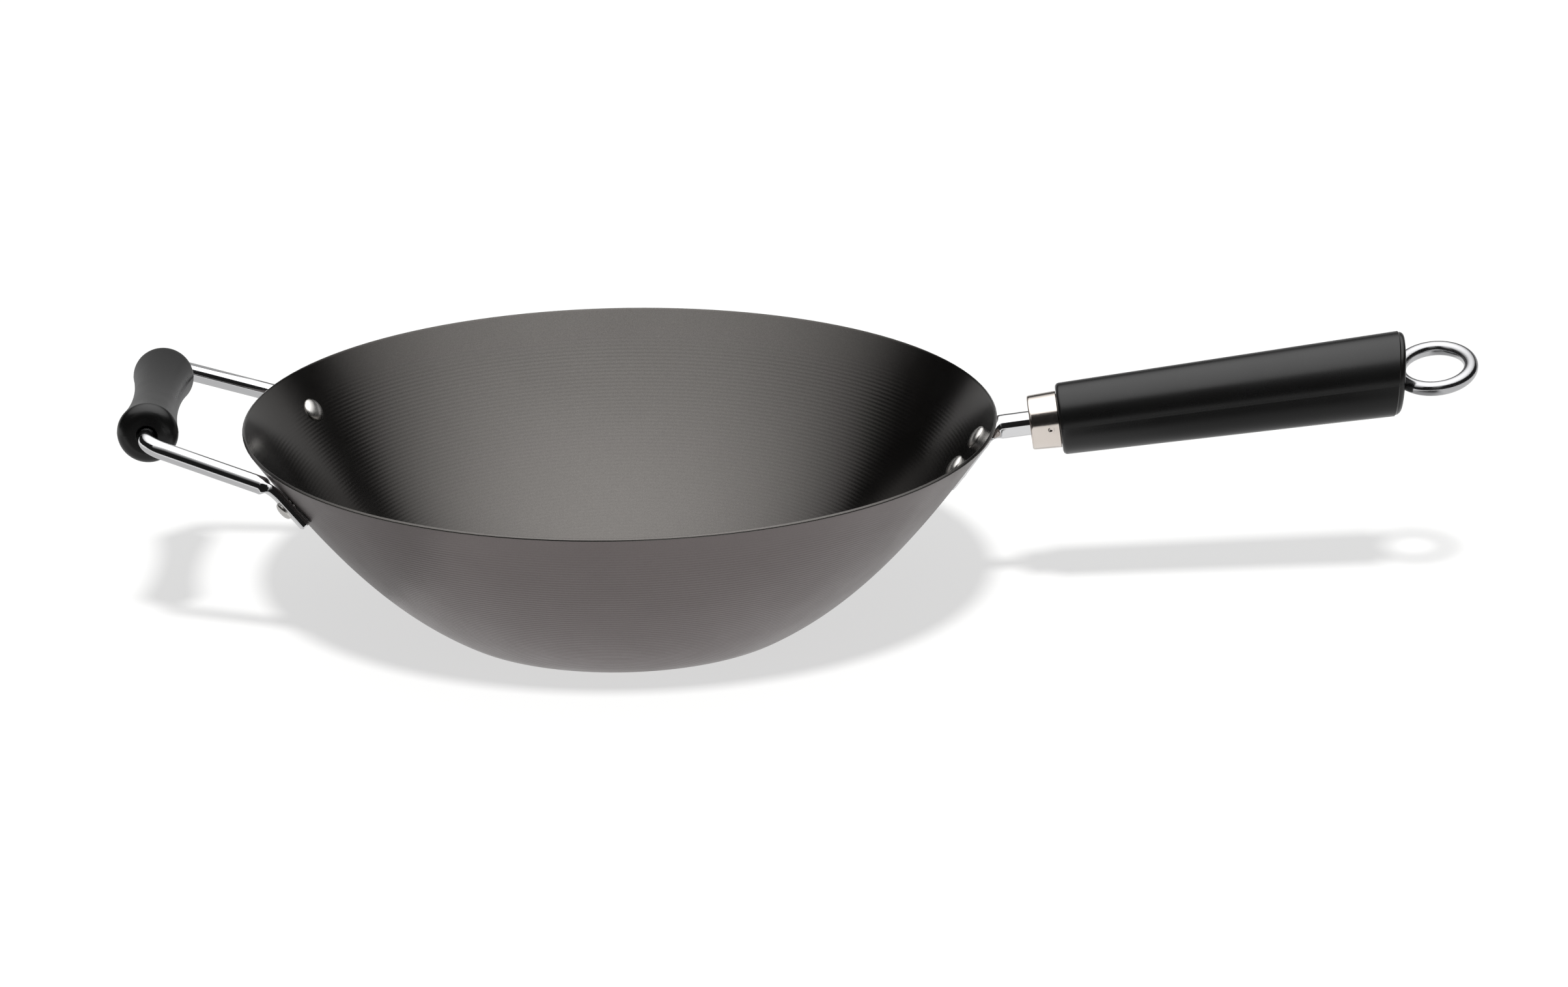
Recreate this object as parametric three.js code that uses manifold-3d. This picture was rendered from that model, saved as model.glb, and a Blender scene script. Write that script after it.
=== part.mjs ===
// Flat-based non-stick wok with a long handle, a hanging loop and a helper handle whose grip turns.
// Units are millimetres. +Z is up and +X points along the long handle.
// The origin is the centre of the base's underside, on the bowl's axis.

import * as THREE from "three";
import { mergeVertices } from "three/addons/utils/BufferGeometryUtils.js";
import Module from "manifold-3d";

const wasm = await Module();
wasm.setup();

// Fits
const CLEARANCE = 0.3; // between pieces that bear on each other
const RUNNING_CLEARANCE = 0.4; // round the rod that the helper grip turns on

// Bowl, pressed from one sheet
const RIM_RADIUS = 155;
const BASE_RADIUS = 75.7;
const BOWL_DEPTH = 83.4;
const SHEET = 1.4;
const WALL_ANGLE_AT_BASE = 29.9; // degrees above the level
const WALL_ANGLE_AT_RIM = 54.9;

// Rivets: a domed head inside the bowl and a lower upset head outside
const RIVET_RADIUS = 2.5;
const RIVET_HEAD_RADIUS = 5.25;
const RIVET_HEAD_HEIGHT = 2;
const RIVET_TAIL_RADIUS = 4;
const RIVET_TAIL_HEIGHT = 2.2;

// Long handle: its axis, and the rod that is flattened into a paddle against the bowl
const HANDLE_RISE = 7.25; // degrees
const HANDLE_DROP = 8; // from the rim down the wall to where the axis meets it
const NECK_RADIUS = 5;
const NECK_LENGTH = 18; // from the wall to the ferrule
const NECK_TAIL = 45; // from the ferrule's front into the grip
const NECK_BEND = 4; // reach of the bend from its corner
const NECK_FLAT_BY = 0.75; // share of the bend by which the rod is flat
const NECK_PADDLE_THICKNESS = 4;
const NECK_PADDLE_WIDTH = 19;
const NECK_PADDLE_MARGIN = 8.5; // past the lower rivet
const NECK_RIVET_DROP = 5.4; // from the handle's axis down the wall to the upper rivet
const NECK_RIVET_PITCH = 15.4;
const COLLAR_RADIUS = 9; // swaged on the rod, inside the ferrule
const COLLAR_THICKNESS = 2;

// Ferrule, a drawn cup between the rod and the grip
const FERRULE_LENGTH = 12;
const FERRULE_FRONT_RADIUS = 11.2;
const FERRULE_BACK_RADIUS = 11.75;
const FERRULE_WALL = 0.8;
const FERRULE_EDGE = 0.8;
const STAKE_RADIUS = 0.65; // punch mark that locks the cup to the grip
const STAKE_DEPTH = 0.4;
const STAKE_SETBACK = 3.8; // from the grip's shoulder
const STAKE_TURN = 92.5; // degrees from the top, towards the front

// Grip
const GRIP_LENGTH = 141.6;
const GRIP_FRONT_RADIUS = 14.8;
const GRIP_BACK_RADIUS = 17.3;
const GRIP_FRONT_EDGE = 1.8;
const GRIP_LIP = 0.5; // small bevel before the back end's rounding
const GRIP_BACK_EDGE = 2.2;
const GRIP_CROWN = 1; // rise of the back face at its middle
const GRIP_END_SLANT = 10; // degrees, the back face stands upright
const GRIP_SLANT_LENGTH = 30;

// Hanging loop, welded to the tie rod that screws into the neck, and its washer
const LOOP_RADIUS = 14.8;
const LOOP_WIRE_RADIUS = 3;
const LOOP_SINK = 1.2; // of the wire's centre into the grip's end
const LOOP_ROLL = 16; // degrees about the handle, as it was tightened
const TIE_ROD_RADIUS = 2.5;
const TIE_ROD_GRIP = 17; // length screwed into the neck
const WASHER_RADIUS = 8;
const WASHER_THICKNESS = 1.2;

// Helper handle: a bent rod with flattened ends, and a grip that spins on its middle
const HELPER_REACH = 35.3; // from the rim out to the grip's axis
const HELPER_LIFT = 8.8; // of the grip's axis above the rim
const HELPER_HALF_SPAN = 53.1; // to the corner where the rod turns
const HELPER_ROD_RADIUS = 3.7;
const HELPER_BEND = 9; // reach of that corner's bend
const HELPER_RIVET_ANGLE = 24.8; // degrees either side of the helper's middle
const HELPER_RIVET_DROP = 18; // from the rim down the wall
const HELPER_PADDLE_THICKNESS = 3.6;
const HELPER_PADDLE_WIDTH = 13;
const HELPER_PADDLE_ABOVE = 10; // from the rivet up to the bend's corner
const HELPER_PADDLE_BELOW = 10.5;
const HELPER_PADDLE_BEND = 5;
const HELPER_FLAT_BY = 0.6; // share of that bend by which the rod is flat
const SPOOL_HALF_LENGTH = 42.6;
const SPOOL_END_RADIUS = 12.5;
const SPOOL_WAIST_RADIUS = 9.4;
const SPOOL_END_EDGE = 5.3; // rounding of the two ends
const SPOOL_MOUTH = 1; // chamfer at each end of the bore

// Squareness of a rod's section: 2 is an ellipse
const ROUND_SECTION = 2;
const FLAT_SECTION = 4;

// Fineness of the surfaces
const BOWL_TURNS = 64;
const WALL_STEPS = 12;
const ROUND_TURNS = 32;
const SMALL_TURNS = 16;
const ROD_SIDES = 16;
const WIRE_SIDES = 14;
const BEND_STEPS = 8;
const ARC_STEPS = 4;

const COAT = new THREE.MeshStandardMaterial({ color: 0x575352, roughness: 0.48, metalness: 0.35 });
const CHROME = new THREE.MeshStandardMaterial({ color: 0xd9dadb, roughness: 0.08, metalness: 1 });
const NICKEL = new THREE.MeshStandardMaterial({ color: 0xcfc6bf, roughness: 0.3, metalness: 1 });
const RIVET_STEEL = new THREE.MeshStandardMaterial({ color: 0xc4c2be, roughness: 0.28, metalness: 1 });
const PHENOLIC = new THREE.MeshStandardMaterial({ color: 0x191919, roughness: 0.5, metalness: 0 });
const ZINC = new THREE.MeshStandardMaterial({ color: 0xa9abad, roughness: 0.4, metalness: 1 });

const radians = THREE.MathUtils.degToRad;
const { lerp, smoothstep } = THREE.MathUtils;
const UP = new THREE.Vector3(0, 0, 1);
const LATHE_AXIS = new THREE.Vector3(0, 1, 0);

/** A closed solid from a geometry: shared vertices merged, slivers on a lathe's axis dropped. */
function solid(geometry) {
  const bare = geometry.clone();
  bare.deleteAttribute("normal");
  bare.deleteAttribute("uv");
  const merged = mergeVertices(bare, 1e-4);
  const corners = merged.index.array;
  const kept = [];
  for (let i = 0; i < corners.length; i += 3) {
    const [a, b, c] = corners.slice(i, i + 3);
    if (a !== b && b !== c && c !== a) kept.push(a, b, c);
  }
  const vertProperties = new Float32Array(merged.attributes.position.array);
  return new wasm.Manifold(new wasm.Mesh({ numProp: 3, vertProperties, triVerts: new Uint32Array(kept) }));
}

/** A geometry from a solid. */
function surface(body) {
  const mesh = body.getMesh();
  const geometry = new THREE.BufferGeometry();
  geometry.setAttribute("position", new THREE.BufferAttribute(new Float32Array(mesh.vertProperties), 3));
  geometry.setIndex(new THREE.BufferAttribute(new Uint32Array(mesh.triVerts), 1));
  geometry.computeVertexNormals();
  return geometry;
}

/** One geometry with others cut out of it. */
function cut(geometry, tools) {
  return surface(tools.reduce((body, tool) => body.subtract(solid(tool)), solid(geometry)));
}

/** Two geometries joined. */
function join(first, second) {
  return surface(solid(first).add(solid(second)));
}

function piece(name, geometry, material) {
  const mesh = new THREE.Mesh(geometry, material);
  mesh.name = name;
  return mesh;
}

/** Points of a quarter round, from one direction to another about a centre, in a profile's plane. */
function roundedCorner(centre, radius, fromDegrees, toDegrees) {
  const points = [];
  for (let i = 0; i <= ARC_STEPS; i += 1) {
    const angle = radians(lerp(fromDegrees, toDegrees, i / ARC_STEPS));
    points.push(new THREE.Vector2(centre.x + radius * Math.cos(angle), centre.y + radius * Math.sin(angle)));
  }
  return points;
}

/** A turned body: the profile holds (radius, distance) and the distance runs along +X. */
function turned(profile, turns) {
  return new THREE.LatheGeometry(profile, turns).rotateZ(-Math.PI / 2);
}

/** A round bar along +X from one distance to another. */
function bar(radius, from, to) {
  const profile = [
    new THREE.Vector2(0, from),
    new THREE.Vector2(radius, from),
    new THREE.Vector2(radius, to),
    new THREE.Vector2(0, to),
  ];
  return turned(profile, SMALL_TURNS);
}

// The bowl's wall. Its outer face is one smooth curve from the base's corner to the rim.
const wallChord = Math.hypot(RIM_RADIUS - BASE_RADIUS, BOWL_DEPTH);
const wallStart = new THREE.Vector2(BASE_RADIUS, 0);
const wallEnd = new THREE.Vector2(RIM_RADIUS, BOWL_DEPTH);
const startAngle = radians(WALL_ANGLE_AT_BASE);
const endAngle = radians(WALL_ANGLE_AT_RIM);
const startHandle = new THREE.Vector2(Math.cos(startAngle), Math.sin(startAngle)).multiplyScalar(wallChord / 3);
const endHandle = new THREE.Vector2(Math.cos(endAngle), Math.sin(endAngle)).multiplyScalar(wallChord / 3);
const wallCurve = new THREE.CubicBezierCurve(
  wallStart,
  wallStart.clone().add(startHandle),
  wallEnd.clone().sub(endHandle),
  wallEnd,
);
const wallLength = wallCurve.getLength();

/** The outer wall at a distance down from the rim, in a profile: its point, and its normal out of the bowl. */
function wallAt(drop) {
  const share = 1 - drop / wallLength;
  const tangent = wallCurve.getTangentAt(share);
  return { point: wallCurve.getPointAt(share), normal: new THREE.Vector2(tangent.y, -tangent.x) };
}

/** The outer wall at an azimuth about the bowl's axis: a point, and the normal out of the bowl. */
function wallPlace(azimuth, drop) {
  const { point, normal } = wallAt(drop);
  const swing = (v) => new THREE.Vector3(v.x * Math.cos(azimuth), v.x * Math.sin(azimuth), v.y);
  return { point: swing(point), normal: swing(normal) };
}

function bowlProfile() {
  const outer = [];
  const inner = [];
  for (let i = 0; i <= WALL_STEPS; i += 1) {
    const { point, normal } = wallAt(wallLength * (1 - i / WALL_STEPS));
    outer.push(point);
    inner.unshift(point.clone().addScaledVector(normal, -SHEET));
  }
  // Inside, the wall meets the flat floor a little way in from its lowest offset point.
  const floorCorner = inner.pop();
  const { normal } = wallAt(wallLength);
  const slope = -normal.y / normal.x;
  const floorRadius = floorCorner.x + (SHEET - floorCorner.y) * slope;
  inner.push(new THREE.Vector2(floorRadius, SHEET));
  return [new THREE.Vector2(0, 0), ...outer, ...inner, new THREE.Vector2(0, SHEET)];
}

/** Turns a lathed geometry's axis to the wall's normal and sets its zero on the wall's outer face. */
function seatOnWall(geometry, { point, normal }) {
  const turn = new THREE.Quaternion().setFromUnitVectors(LATHE_AXIS, normal);
  return geometry.applyQuaternion(turn).translate(point.x, point.y, point.z);
}

/** A rivet through the wall and a paddle: distances run out of the bowl from the wall's outer face. */
function rivet(place, paddleThickness) {
  const headSeat = -SHEET - CLEARANCE;
  const tailSeat = paddleThickness + 2 * CLEARANCE;
  const headArc = [];
  const tailArc = [];
  for (let i = 0; i <= ARC_STEPS; i += 1) {
    const angle = (i / ARC_STEPS) * (Math.PI / 2);
    headArc.push(
      new THREE.Vector2(RIVET_HEAD_RADIUS * Math.sin(angle), headSeat - RIVET_HEAD_HEIGHT * Math.cos(angle)),
    );
    tailArc.push(
      new THREE.Vector2(RIVET_TAIL_RADIUS * Math.cos(angle), tailSeat + RIVET_TAIL_HEIGHT * Math.sin(angle)),
    );
  }
  headArc[0].x = 0;
  tailArc[ARC_STEPS].x = 0;
  const shank = [new THREE.Vector2(RIVET_RADIUS, headSeat), new THREE.Vector2(RIVET_RADIUS, tailSeat)];
  return seatOnWall(new THREE.LatheGeometry([...headArc, ...shank, ...tailArc], SMALL_TURNS), place);
}

/** The hole that a rivet passes through, long enough for the wall and a paddle. */
function rivetHole(place) {
  const reach = SHEET + RIVET_HEAD_RADIUS + NECK_PADDLE_THICKNESS;
  const radius = RIVET_RADIUS + CLEARANCE;
  const profile = [
    new THREE.Vector2(0, -reach),
    new THREE.Vector2(radius, -reach),
    new THREE.Vector2(radius, reach),
    new THREE.Vector2(0, reach),
  ];
  return seatOnWall(new THREE.LatheGeometry(profile, SMALL_TURNS), place);
}

/**
 * A rod whose section changes along its way. Each station has a centre, the way's direction, the side that the
 * section's thickness faces, its half width and half thickness, and how square it is: 2 is an ellipse.
 */
function rod(stations) {
  const positions = [];
  const corners = [];
  for (const { centre, direction, side, halfWidth, halfThickness, squareness } of stations) {
    const across = new THREE.Vector3().crossVectors(direction, side).normalize();
    const through = new THREE.Vector3().crossVectors(across, direction).normalize();
    for (let i = 0; i < ROD_SIDES; i += 1) {
      const angle = (2 * Math.PI * i) / ROD_SIDES;
      const spread = (value) => Math.sign(value) * Math.abs(value) ** (2 / squareness);
      const corner = centre
        .clone()
        .addScaledVector(across, halfWidth * spread(Math.cos(angle)))
        .addScaledVector(through, halfThickness * spread(Math.sin(angle)));
      positions.push(...corner.toArray());
    }
  }
  const last = stations.length - 1;
  for (let ring = 0; ring < last; ring += 1) {
    for (let i = 0; i < ROD_SIDES; i += 1) {
      const a = ring * ROD_SIDES + i;
      const b = ring * ROD_SIDES + ((i + 1) % ROD_SIDES);
      corners.push(a, b + ROD_SIDES, b, a, a + ROD_SIDES, b + ROD_SIDES);
    }
  }
  const startCap = positions.length / 3;
  positions.push(...stations[0].centre.toArray(), ...stations[last].centre.toArray());
  for (let i = 0; i < ROD_SIDES; i += 1) {
    const next = (i + 1) % ROD_SIDES;
    corners.push(startCap, i, next, startCap + 1, last * ROD_SIDES + next, last * ROD_SIDES + i);
  }
  const geometry = new THREE.BufferGeometry();
  geometry.setAttribute("position", new THREE.Float32BufferAttribute(positions, 3));
  geometry.setIndex(corners);
  return geometry;
}

/** A station of a rod that is round at share 0 and a flat paddle at share 1. */
function station(centre, direction, side, radius, paddleWidth, paddleThickness, share) {
  return {
    centre,
    direction: direction.clone().normalize(),
    side: side.clone().normalize(),
    halfWidth: lerp(radius, paddleWidth / 2, share),
    halfThickness: lerp(radius, paddleThickness / 2, share),
    squareness: lerp(ROUND_SECTION, FLAT_SECTION, share),
  };
}

// The long handle's own frame: +X along its axis from where the axis meets the wall.
const handleRoot = wallPlace(0, HANDLE_DROP).point;
const handle = new THREE.Group();
handle.position.copy(handleRoot);
handle.rotation.y = -radians(HANDLE_RISE);
handle.updateMatrix();
const handleAxis = new THREE.Vector3(1, 0, 0).transformDirection(handle.matrix);
const ferruleFront = NECK_LENGTH;
const gripShoulder = ferruleFront + FERRULE_LENGTH + CLEARANCE;
const gripEnd = gripShoulder + GRIP_LENGTH;
const neckTailEnd = ferruleFront + NECK_TAIL;
const tieRodEnd = neckTailEnd - TIE_ROD_GRIP;

/** Radius of the ferrule's outer face at a distance along the handle. */
function ferruleRadius(distance) {
  return lerp(FERRULE_FRONT_RADIUS, FERRULE_BACK_RADIUS, (distance - ferruleFront) / FERRULE_LENGTH);
}

const upperRivetDrop = HANDLE_DROP + NECK_RIVET_DROP;
const neckRivets = [upperRivetDrop, upperRivetDrop + NECK_RIVET_PITCH].map((drop) => wallPlace(0, drop));

/** The neck's centre line against the wall: half a paddle and a clearance out from it. */
function paddleLine(drop) {
  const { point, normal } = wallPlace(0, drop);
  return point.addScaledVector(normal, CLEARANCE + NECK_PADDLE_THICKNESS / 2);
}

function neck() {
  const paddleEnd = upperRivetDrop + NECK_RIVET_PITCH + NECK_PADDLE_MARGIN;
  const { normal } = wallPlace(0, HANDLE_DROP);
  // The bend's corner: where the handle's axis comes within half a paddle of the wall.
  const standOff = (CLEARANCE + NECK_PADDLE_THICKNESS / 2) / handleAxis.dot(normal);
  const corner = handleRoot.clone().addScaledVector(handleAxis, standOff);
  const bendStart = corner.clone().addScaledVector(handleAxis, NECK_BEND);
  const paddleTop = HANDLE_DROP - standOff * handleAxis.dot(downTheWall(HANDLE_DROP).negate()) + NECK_BEND;
  const bend = new THREE.QuadraticBezierCurve3(bendStart, corner, paddleLine(paddleTop));
  const inwards = handleAxis.clone().negate();
  const stations = [];
  const add = (centre, direction, side, share) =>
    stations.push(
      station(centre, direction, side, NECK_RADIUS, NECK_PADDLE_WIDTH, NECK_PADDLE_THICKNESS, share),
    );
  const tail = handleRoot.clone().addScaledVector(handleAxis, neckTailEnd);
  add(tail, inwards, UP, 0);
  for (let i = 0; i <= BEND_STEPS; i += 1) {
    const t = i / BEND_STEPS;
    const direction = bend.getTangent(t);
    const side = new THREE.Vector3().crossVectors(direction, LATHE_AXIS).negate();
    add(bend.getPoint(t), direction, side, smoothstep(t, 0, NECK_FLAT_BY));
  }
  for (let i = 1; i <= BEND_STEPS; i += 1) {
    const drop = lerp(paddleTop, paddleEnd, i / BEND_STEPS);
    const away = wallPlace(0, drop).normal;
    add(paddleLine(drop), downTheWall(drop), away.negate(), 1);
  }
  const collarStart = ferruleFront + FERRULE_WALL + CLEARANCE;
  const collar = bar(COLLAR_RADIUS, collarStart, collarStart + COLLAR_THICKNESS).applyMatrix4(handle.matrix);
  const tapping = bar(TIE_ROD_RADIUS + CLEARANCE, tieRodEnd - CLEARANCE, neckTailEnd + CLEARANCE);
  const holes = neckRivets.map((place) => rivetHole(place));
  return cut(join(rod(stations), collar), [tapping.applyMatrix4(handle.matrix), ...holes]);
}

/** Direction down the wall's outer face, in the handle's plane. */
function downTheWall(drop) {
  const { normal } = wallAt(drop);
  return new THREE.Vector3(normal.y, 0, -normal.x);
}

function ferrule() {
  const back = ferruleFront + FERRULE_LENGTH;
  const edgeCentre = new THREE.Vector2(FERRULE_FRONT_RADIUS - FERRULE_EDGE, ferruleFront + FERRULE_EDGE);
  const hole = NECK_RADIUS + CLEARANCE;
  const innerFront = ferruleFront + FERRULE_WALL;
  const profile = [
    new THREE.Vector2(hole, ferruleFront),
    ...roundedCorner(edgeCentre, FERRULE_EDGE, -90, 0),
    new THREE.Vector2(FERRULE_BACK_RADIUS, back),
    new THREE.Vector2(FERRULE_BACK_RADIUS - FERRULE_WALL, back),
    new THREE.Vector2(ferruleRadius(innerFront) - FERRULE_WALL, innerFront),
    new THREE.Vector2(hole, innerFront),
    new THREE.Vector2(hole, ferruleFront),
  ];
  const stakeAt = back - STAKE_SETBACK;
  const stake = new THREE.CylinderGeometry(STAKE_RADIUS, STAKE_RADIUS, 2 * STAKE_DEPTH, SMALL_TURNS)
    .rotateX(Math.PI / 2)
    .translate(stakeAt, 0, ferruleRadius(stakeAt))
    .rotateX(radians(STAKE_TURN));
  return cut(turned(profile, ROUND_TURNS), [stake]);
}

function grip() {
  const spigotFront = ferruleFront + FERRULE_WALL + COLLAR_THICKNESS + 2 * CLEARANCE;
  const spigotRadius = (distance) => ferruleRadius(distance) - FERRULE_WALL - CLEARANCE;
  const frontEdge = new THREE.Vector2(GRIP_FRONT_RADIUS - GRIP_FRONT_EDGE, gripShoulder + GRIP_FRONT_EDGE);
  const lipEnd = gripEnd - GRIP_BACK_EDGE;
  const backRadius = GRIP_BACK_RADIUS - GRIP_LIP;
  const backEdge = new THREE.Vector2(backRadius - GRIP_BACK_EDGE, lipEnd);
  const slantStart = lipEnd - GRIP_SLANT_LENGTH;
  const taperShare = (slantStart - gripShoulder) / (lipEnd - gripShoulder);
  const profile = [
    new THREE.Vector2(0, spigotFront),
    new THREE.Vector2(spigotRadius(spigotFront), spigotFront),
    new THREE.Vector2(spigotRadius(gripShoulder), gripShoulder),
    ...roundedCorner(frontEdge, GRIP_FRONT_EDGE, -90, 0),
    new THREE.Vector2(lerp(GRIP_FRONT_RADIUS, GRIP_BACK_RADIUS, taperShare), slantStart),
    new THREE.Vector2(GRIP_BACK_RADIUS, lipEnd - GRIP_LIP),
    ...roundedCorner(backEdge, GRIP_BACK_EDGE, 0, 90),
    new THREE.Vector2(0, gripEnd + GRIP_CROWN),
  ];
  const body = turned(profile, ROUND_TURNS);
  // The back end leans: points near it move along the handle with their height.
  const places = body.attributes.position;
  for (let i = 0; i < places.count; i += 1) {
    const near = smoothstep(places.getX(i), slantStart, lipEnd);
    places.setX(i, places.getX(i) + near * places.getZ(i) * Math.tan(radians(GRIP_END_SLANT)));
  }
  return cut(body, [gripBore()]);
}

// The loop's wire sits in a round dish in the grip's back end, on a washer.
const loopSeat = gripEnd - LOOP_SINK - LOOP_WIRE_RADIUS;
const washerFront = loopSeat - CLEARANCE - WASHER_THICKNESS;
const seatFloor = washerFront - CLEARANCE;
const loopOuterRadius = LOOP_RADIUS + LOOP_WIRE_RADIUS;
const loopCentre = gripEnd - LOOP_SINK + LOOP_RADIUS;

/** The grip's stepped bore: round the neck, then the tie rod, then the washer, and a dish that the loop turns in. */
function gripBore() {
  const past = gripEnd + 2 * GRIP_BACK_RADIUS;
  const neckBore = NECK_RADIUS + CLEARANCE;
  const rodBore = TIE_ROD_RADIUS + CLEARANCE;
  const pocket = WASHER_RADIUS + CLEARANCE;
  const step = neckTailEnd + CLEARANCE;
  const profile = [
    new THREE.Vector2(0, ferruleFront),
    new THREE.Vector2(neckBore, ferruleFront),
    new THREE.Vector2(neckBore, step),
    new THREE.Vector2(rodBore, step),
    new THREE.Vector2(rodBore, seatFloor),
    new THREE.Vector2(pocket, seatFloor),
  ];
  const dish = loopOuterRadius + 2 * CLEARANCE;
  const dishStart = Math.asin(pocket / dish);
  for (let i = 0; i <= ARC_STEPS; i += 1) {
    const angle = lerp(dishStart, Math.PI / 2, i / ARC_STEPS);
    profile.push(new THREE.Vector2(dish * Math.sin(angle), loopCentre - dish * Math.cos(angle)));
  }
  profile.push(new THREE.Vector2(dish, past), new THREE.Vector2(0, past));
  return turned(profile, ROUND_TURNS);
}

function washer() {
  const bore = TIE_ROD_RADIUS + CLEARANCE;
  const back = washerFront + WASHER_THICKNESS;
  const profile = [
    new THREE.Vector2(bore, washerFront),
    new THREE.Vector2(WASHER_RADIUS, washerFront),
    new THREE.Vector2(WASHER_RADIUS, back),
    new THREE.Vector2(bore, back),
    new THREE.Vector2(bore, washerFront),
  ];
  return turned(profile, SMALL_TURNS);
}

function hangingLoop() {
  const ring = new THREE.TorusGeometry(LOOP_RADIUS, LOOP_WIRE_RADIUS, WIRE_SIDES, ROUND_TURNS)
    .translate(loopCentre, 0, 0)
    .rotateX(radians(LOOP_ROLL));
  return join(ring, bar(TIE_ROD_RADIUS, tieRodEnd, gripEnd - LOOP_SINK));
}

// The helper handle. Each arm and its paddle lie in one upright plane through the rod's corner and the rivet.
const spoolAxis = new THREE.Vector3(-(RIM_RADIUS + HELPER_REACH), 0, BOWL_DEPTH + HELPER_LIFT);
const helperRivets = [-1, 1].map((way) => wallPlace(Math.PI - way * radians(HELPER_RIVET_ANGLE), HELPER_RIVET_DROP));

/** Stations of the half of the helper's rod on +Y, from its middle to the end of its paddle. */
function helperHalf() {
  const { point, normal } = helperRivets[1];
  const rivetCentre = point.clone().addScaledVector(normal, CLEARANCE + HELPER_PADDLE_THICKNESS / 2);
  const corner = spoolAxis.clone().setY(HELPER_HALF_SPAN);
  const level = rivetCentre.clone().sub(corner).setZ(0).normalize();
  // Down the paddle: in the arm's upright plane and along the wall.
  const fall = level.dot(normal) / normal.z;
  const paddleWay = level.clone().setZ(-fall).normalize();
  const paddleCorner = rivetCentre.clone().addScaledVector(paddleWay, -HELPER_PADDLE_ABOVE);
  const armWay = paddleCorner.clone().sub(corner).normalize();
  const overArm = new THREE.Vector3().crossVectors(armWay, LATHE_AXIS).normalize();
  const intoWall = normal.clone().negate();
  const stations = [];
  const add = (centre, direction, side, share) =>
    stations.push(
      station(centre, direction, side, HELPER_ROD_RADIUS, HELPER_PADDLE_WIDTH, HELPER_PADDLE_THICKNESS, share),
    );
  add(spoolAxis.clone(), LATHE_AXIS, overArm, 0);
  const turn = new THREE.QuadraticBezierCurve3(
    corner.clone().addScaledVector(LATHE_AXIS, -HELPER_BEND),
    corner,
    corner.clone().addScaledVector(armWay, HELPER_BEND),
  );
  for (let i = 0; i <= BEND_STEPS; i += 1) {
    add(turn.getPoint(i / BEND_STEPS), turn.getTangent(i / BEND_STEPS), overArm, 0);
  }
  const crank = new THREE.QuadraticBezierCurve3(
    paddleCorner.clone().addScaledVector(armWay, -HELPER_PADDLE_BEND),
    paddleCorner,
    paddleCorner.clone().addScaledVector(paddleWay, HELPER_PADDLE_BEND),
  );
  for (let i = 0; i <= BEND_STEPS; i += 1) {
    const t = i / BEND_STEPS;
    const side = overArm.clone().lerp(intoWall, smoothstep(t, 0, HELPER_FLAT_BY));
    add(crank.getPoint(t), crank.getTangent(t), side, smoothstep(t, 0, HELPER_FLAT_BY));
  }
  const end = rivetCentre.clone().addScaledVector(paddleWay, HELPER_PADDLE_BELOW);
  add(end, paddleWay, intoWall, 1);
  return stations;
}

function helperBail() {
  const half = helperHalf();
  const flip = (v) => new THREE.Vector3(v.x, -v.y, v.z);
  const mirrored = half.slice(1).map((place) => ({
    ...place,
    centre: flip(place.centre),
    direction: flip(place.direction).negate(),
    side: flip(place.side),
  }));
  const holes = helperRivets.map((place) => rivetHole(place));
  return cut(rod([...mirrored.reverse(), ...half]), holes);
}

/** The helper's grip: an hourglass with rounded ends and a bore for the rod. */
function spool() {
  const bore = HELPER_ROD_RADIUS + RUNNING_CLEARANCE;
  const edge = SPOOL_HALF_LENGTH - SPOOL_END_EDGE;
  const flank = [];
  for (let i = 0; i <= WALL_STEPS; i += 1) {
    const along = lerp(-edge, edge, i / WALL_STEPS);
    const swell = 0.5 - 0.5 * Math.cos((Math.PI * along) / edge);
    flank.push(new THREE.Vector2(lerp(SPOOL_WAIST_RADIUS, SPOOL_END_RADIUS, swell), along));
  }
  const lowEdge = new THREE.Vector2(SPOOL_END_RADIUS - SPOOL_END_EDGE, -edge);
  const highEdge = new THREE.Vector2(SPOOL_END_RADIUS - SPOOL_END_EDGE, edge);
  const profile = [
    new THREE.Vector2(bore, -SPOOL_HALF_LENGTH + SPOOL_MOUTH),
    new THREE.Vector2(bore + SPOOL_MOUTH, -SPOOL_HALF_LENGTH),
    ...roundedCorner(lowEdge, SPOOL_END_EDGE, -90, 0),
    ...flank.slice(1, -1),
    ...roundedCorner(highEdge, SPOOL_END_EDGE, 0, 90),
    new THREE.Vector2(bore + SPOOL_MOUTH, SPOOL_HALF_LENGTH),
    new THREE.Vector2(bore, SPOOL_HALF_LENGTH - SPOOL_MOUTH),
    new THREE.Vector2(bore, -SPOOL_HALF_LENGTH + SPOOL_MOUTH),
  ];
  return new THREE.LatheGeometry(profile, ROUND_TURNS);
}

function bowl() {
  const sheet = new THREE.LatheGeometry(bowlProfile(), BOWL_TURNS).rotateX(Math.PI / 2);
  return cut(sheet, [...neckRivets, ...helperRivets].map((place) => rivetHole(place)));
}

const wok = new THREE.Group();
wok.add(piece("wok_bowl", bowl(), COAT));
wok.add(piece("handle_neck", neck(), CHROME));
wok.add(piece("neck_rivet_upper", rivet(neckRivets[0], NECK_PADDLE_THICKNESS), RIVET_STEEL));
wok.add(piece("neck_rivet_lower", rivet(neckRivets[1], NECK_PADDLE_THICKNESS), RIVET_STEEL));

handle.add(piece("ferrule", ferrule(), NICKEL));
handle.add(piece("handle_grip", grip(), PHENOLIC));
handle.add(piece("loop_washer", washer(), ZINC));
handle.add(piece("hanging_loop", hangingLoop(), CHROME));
wok.add(handle);

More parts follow.
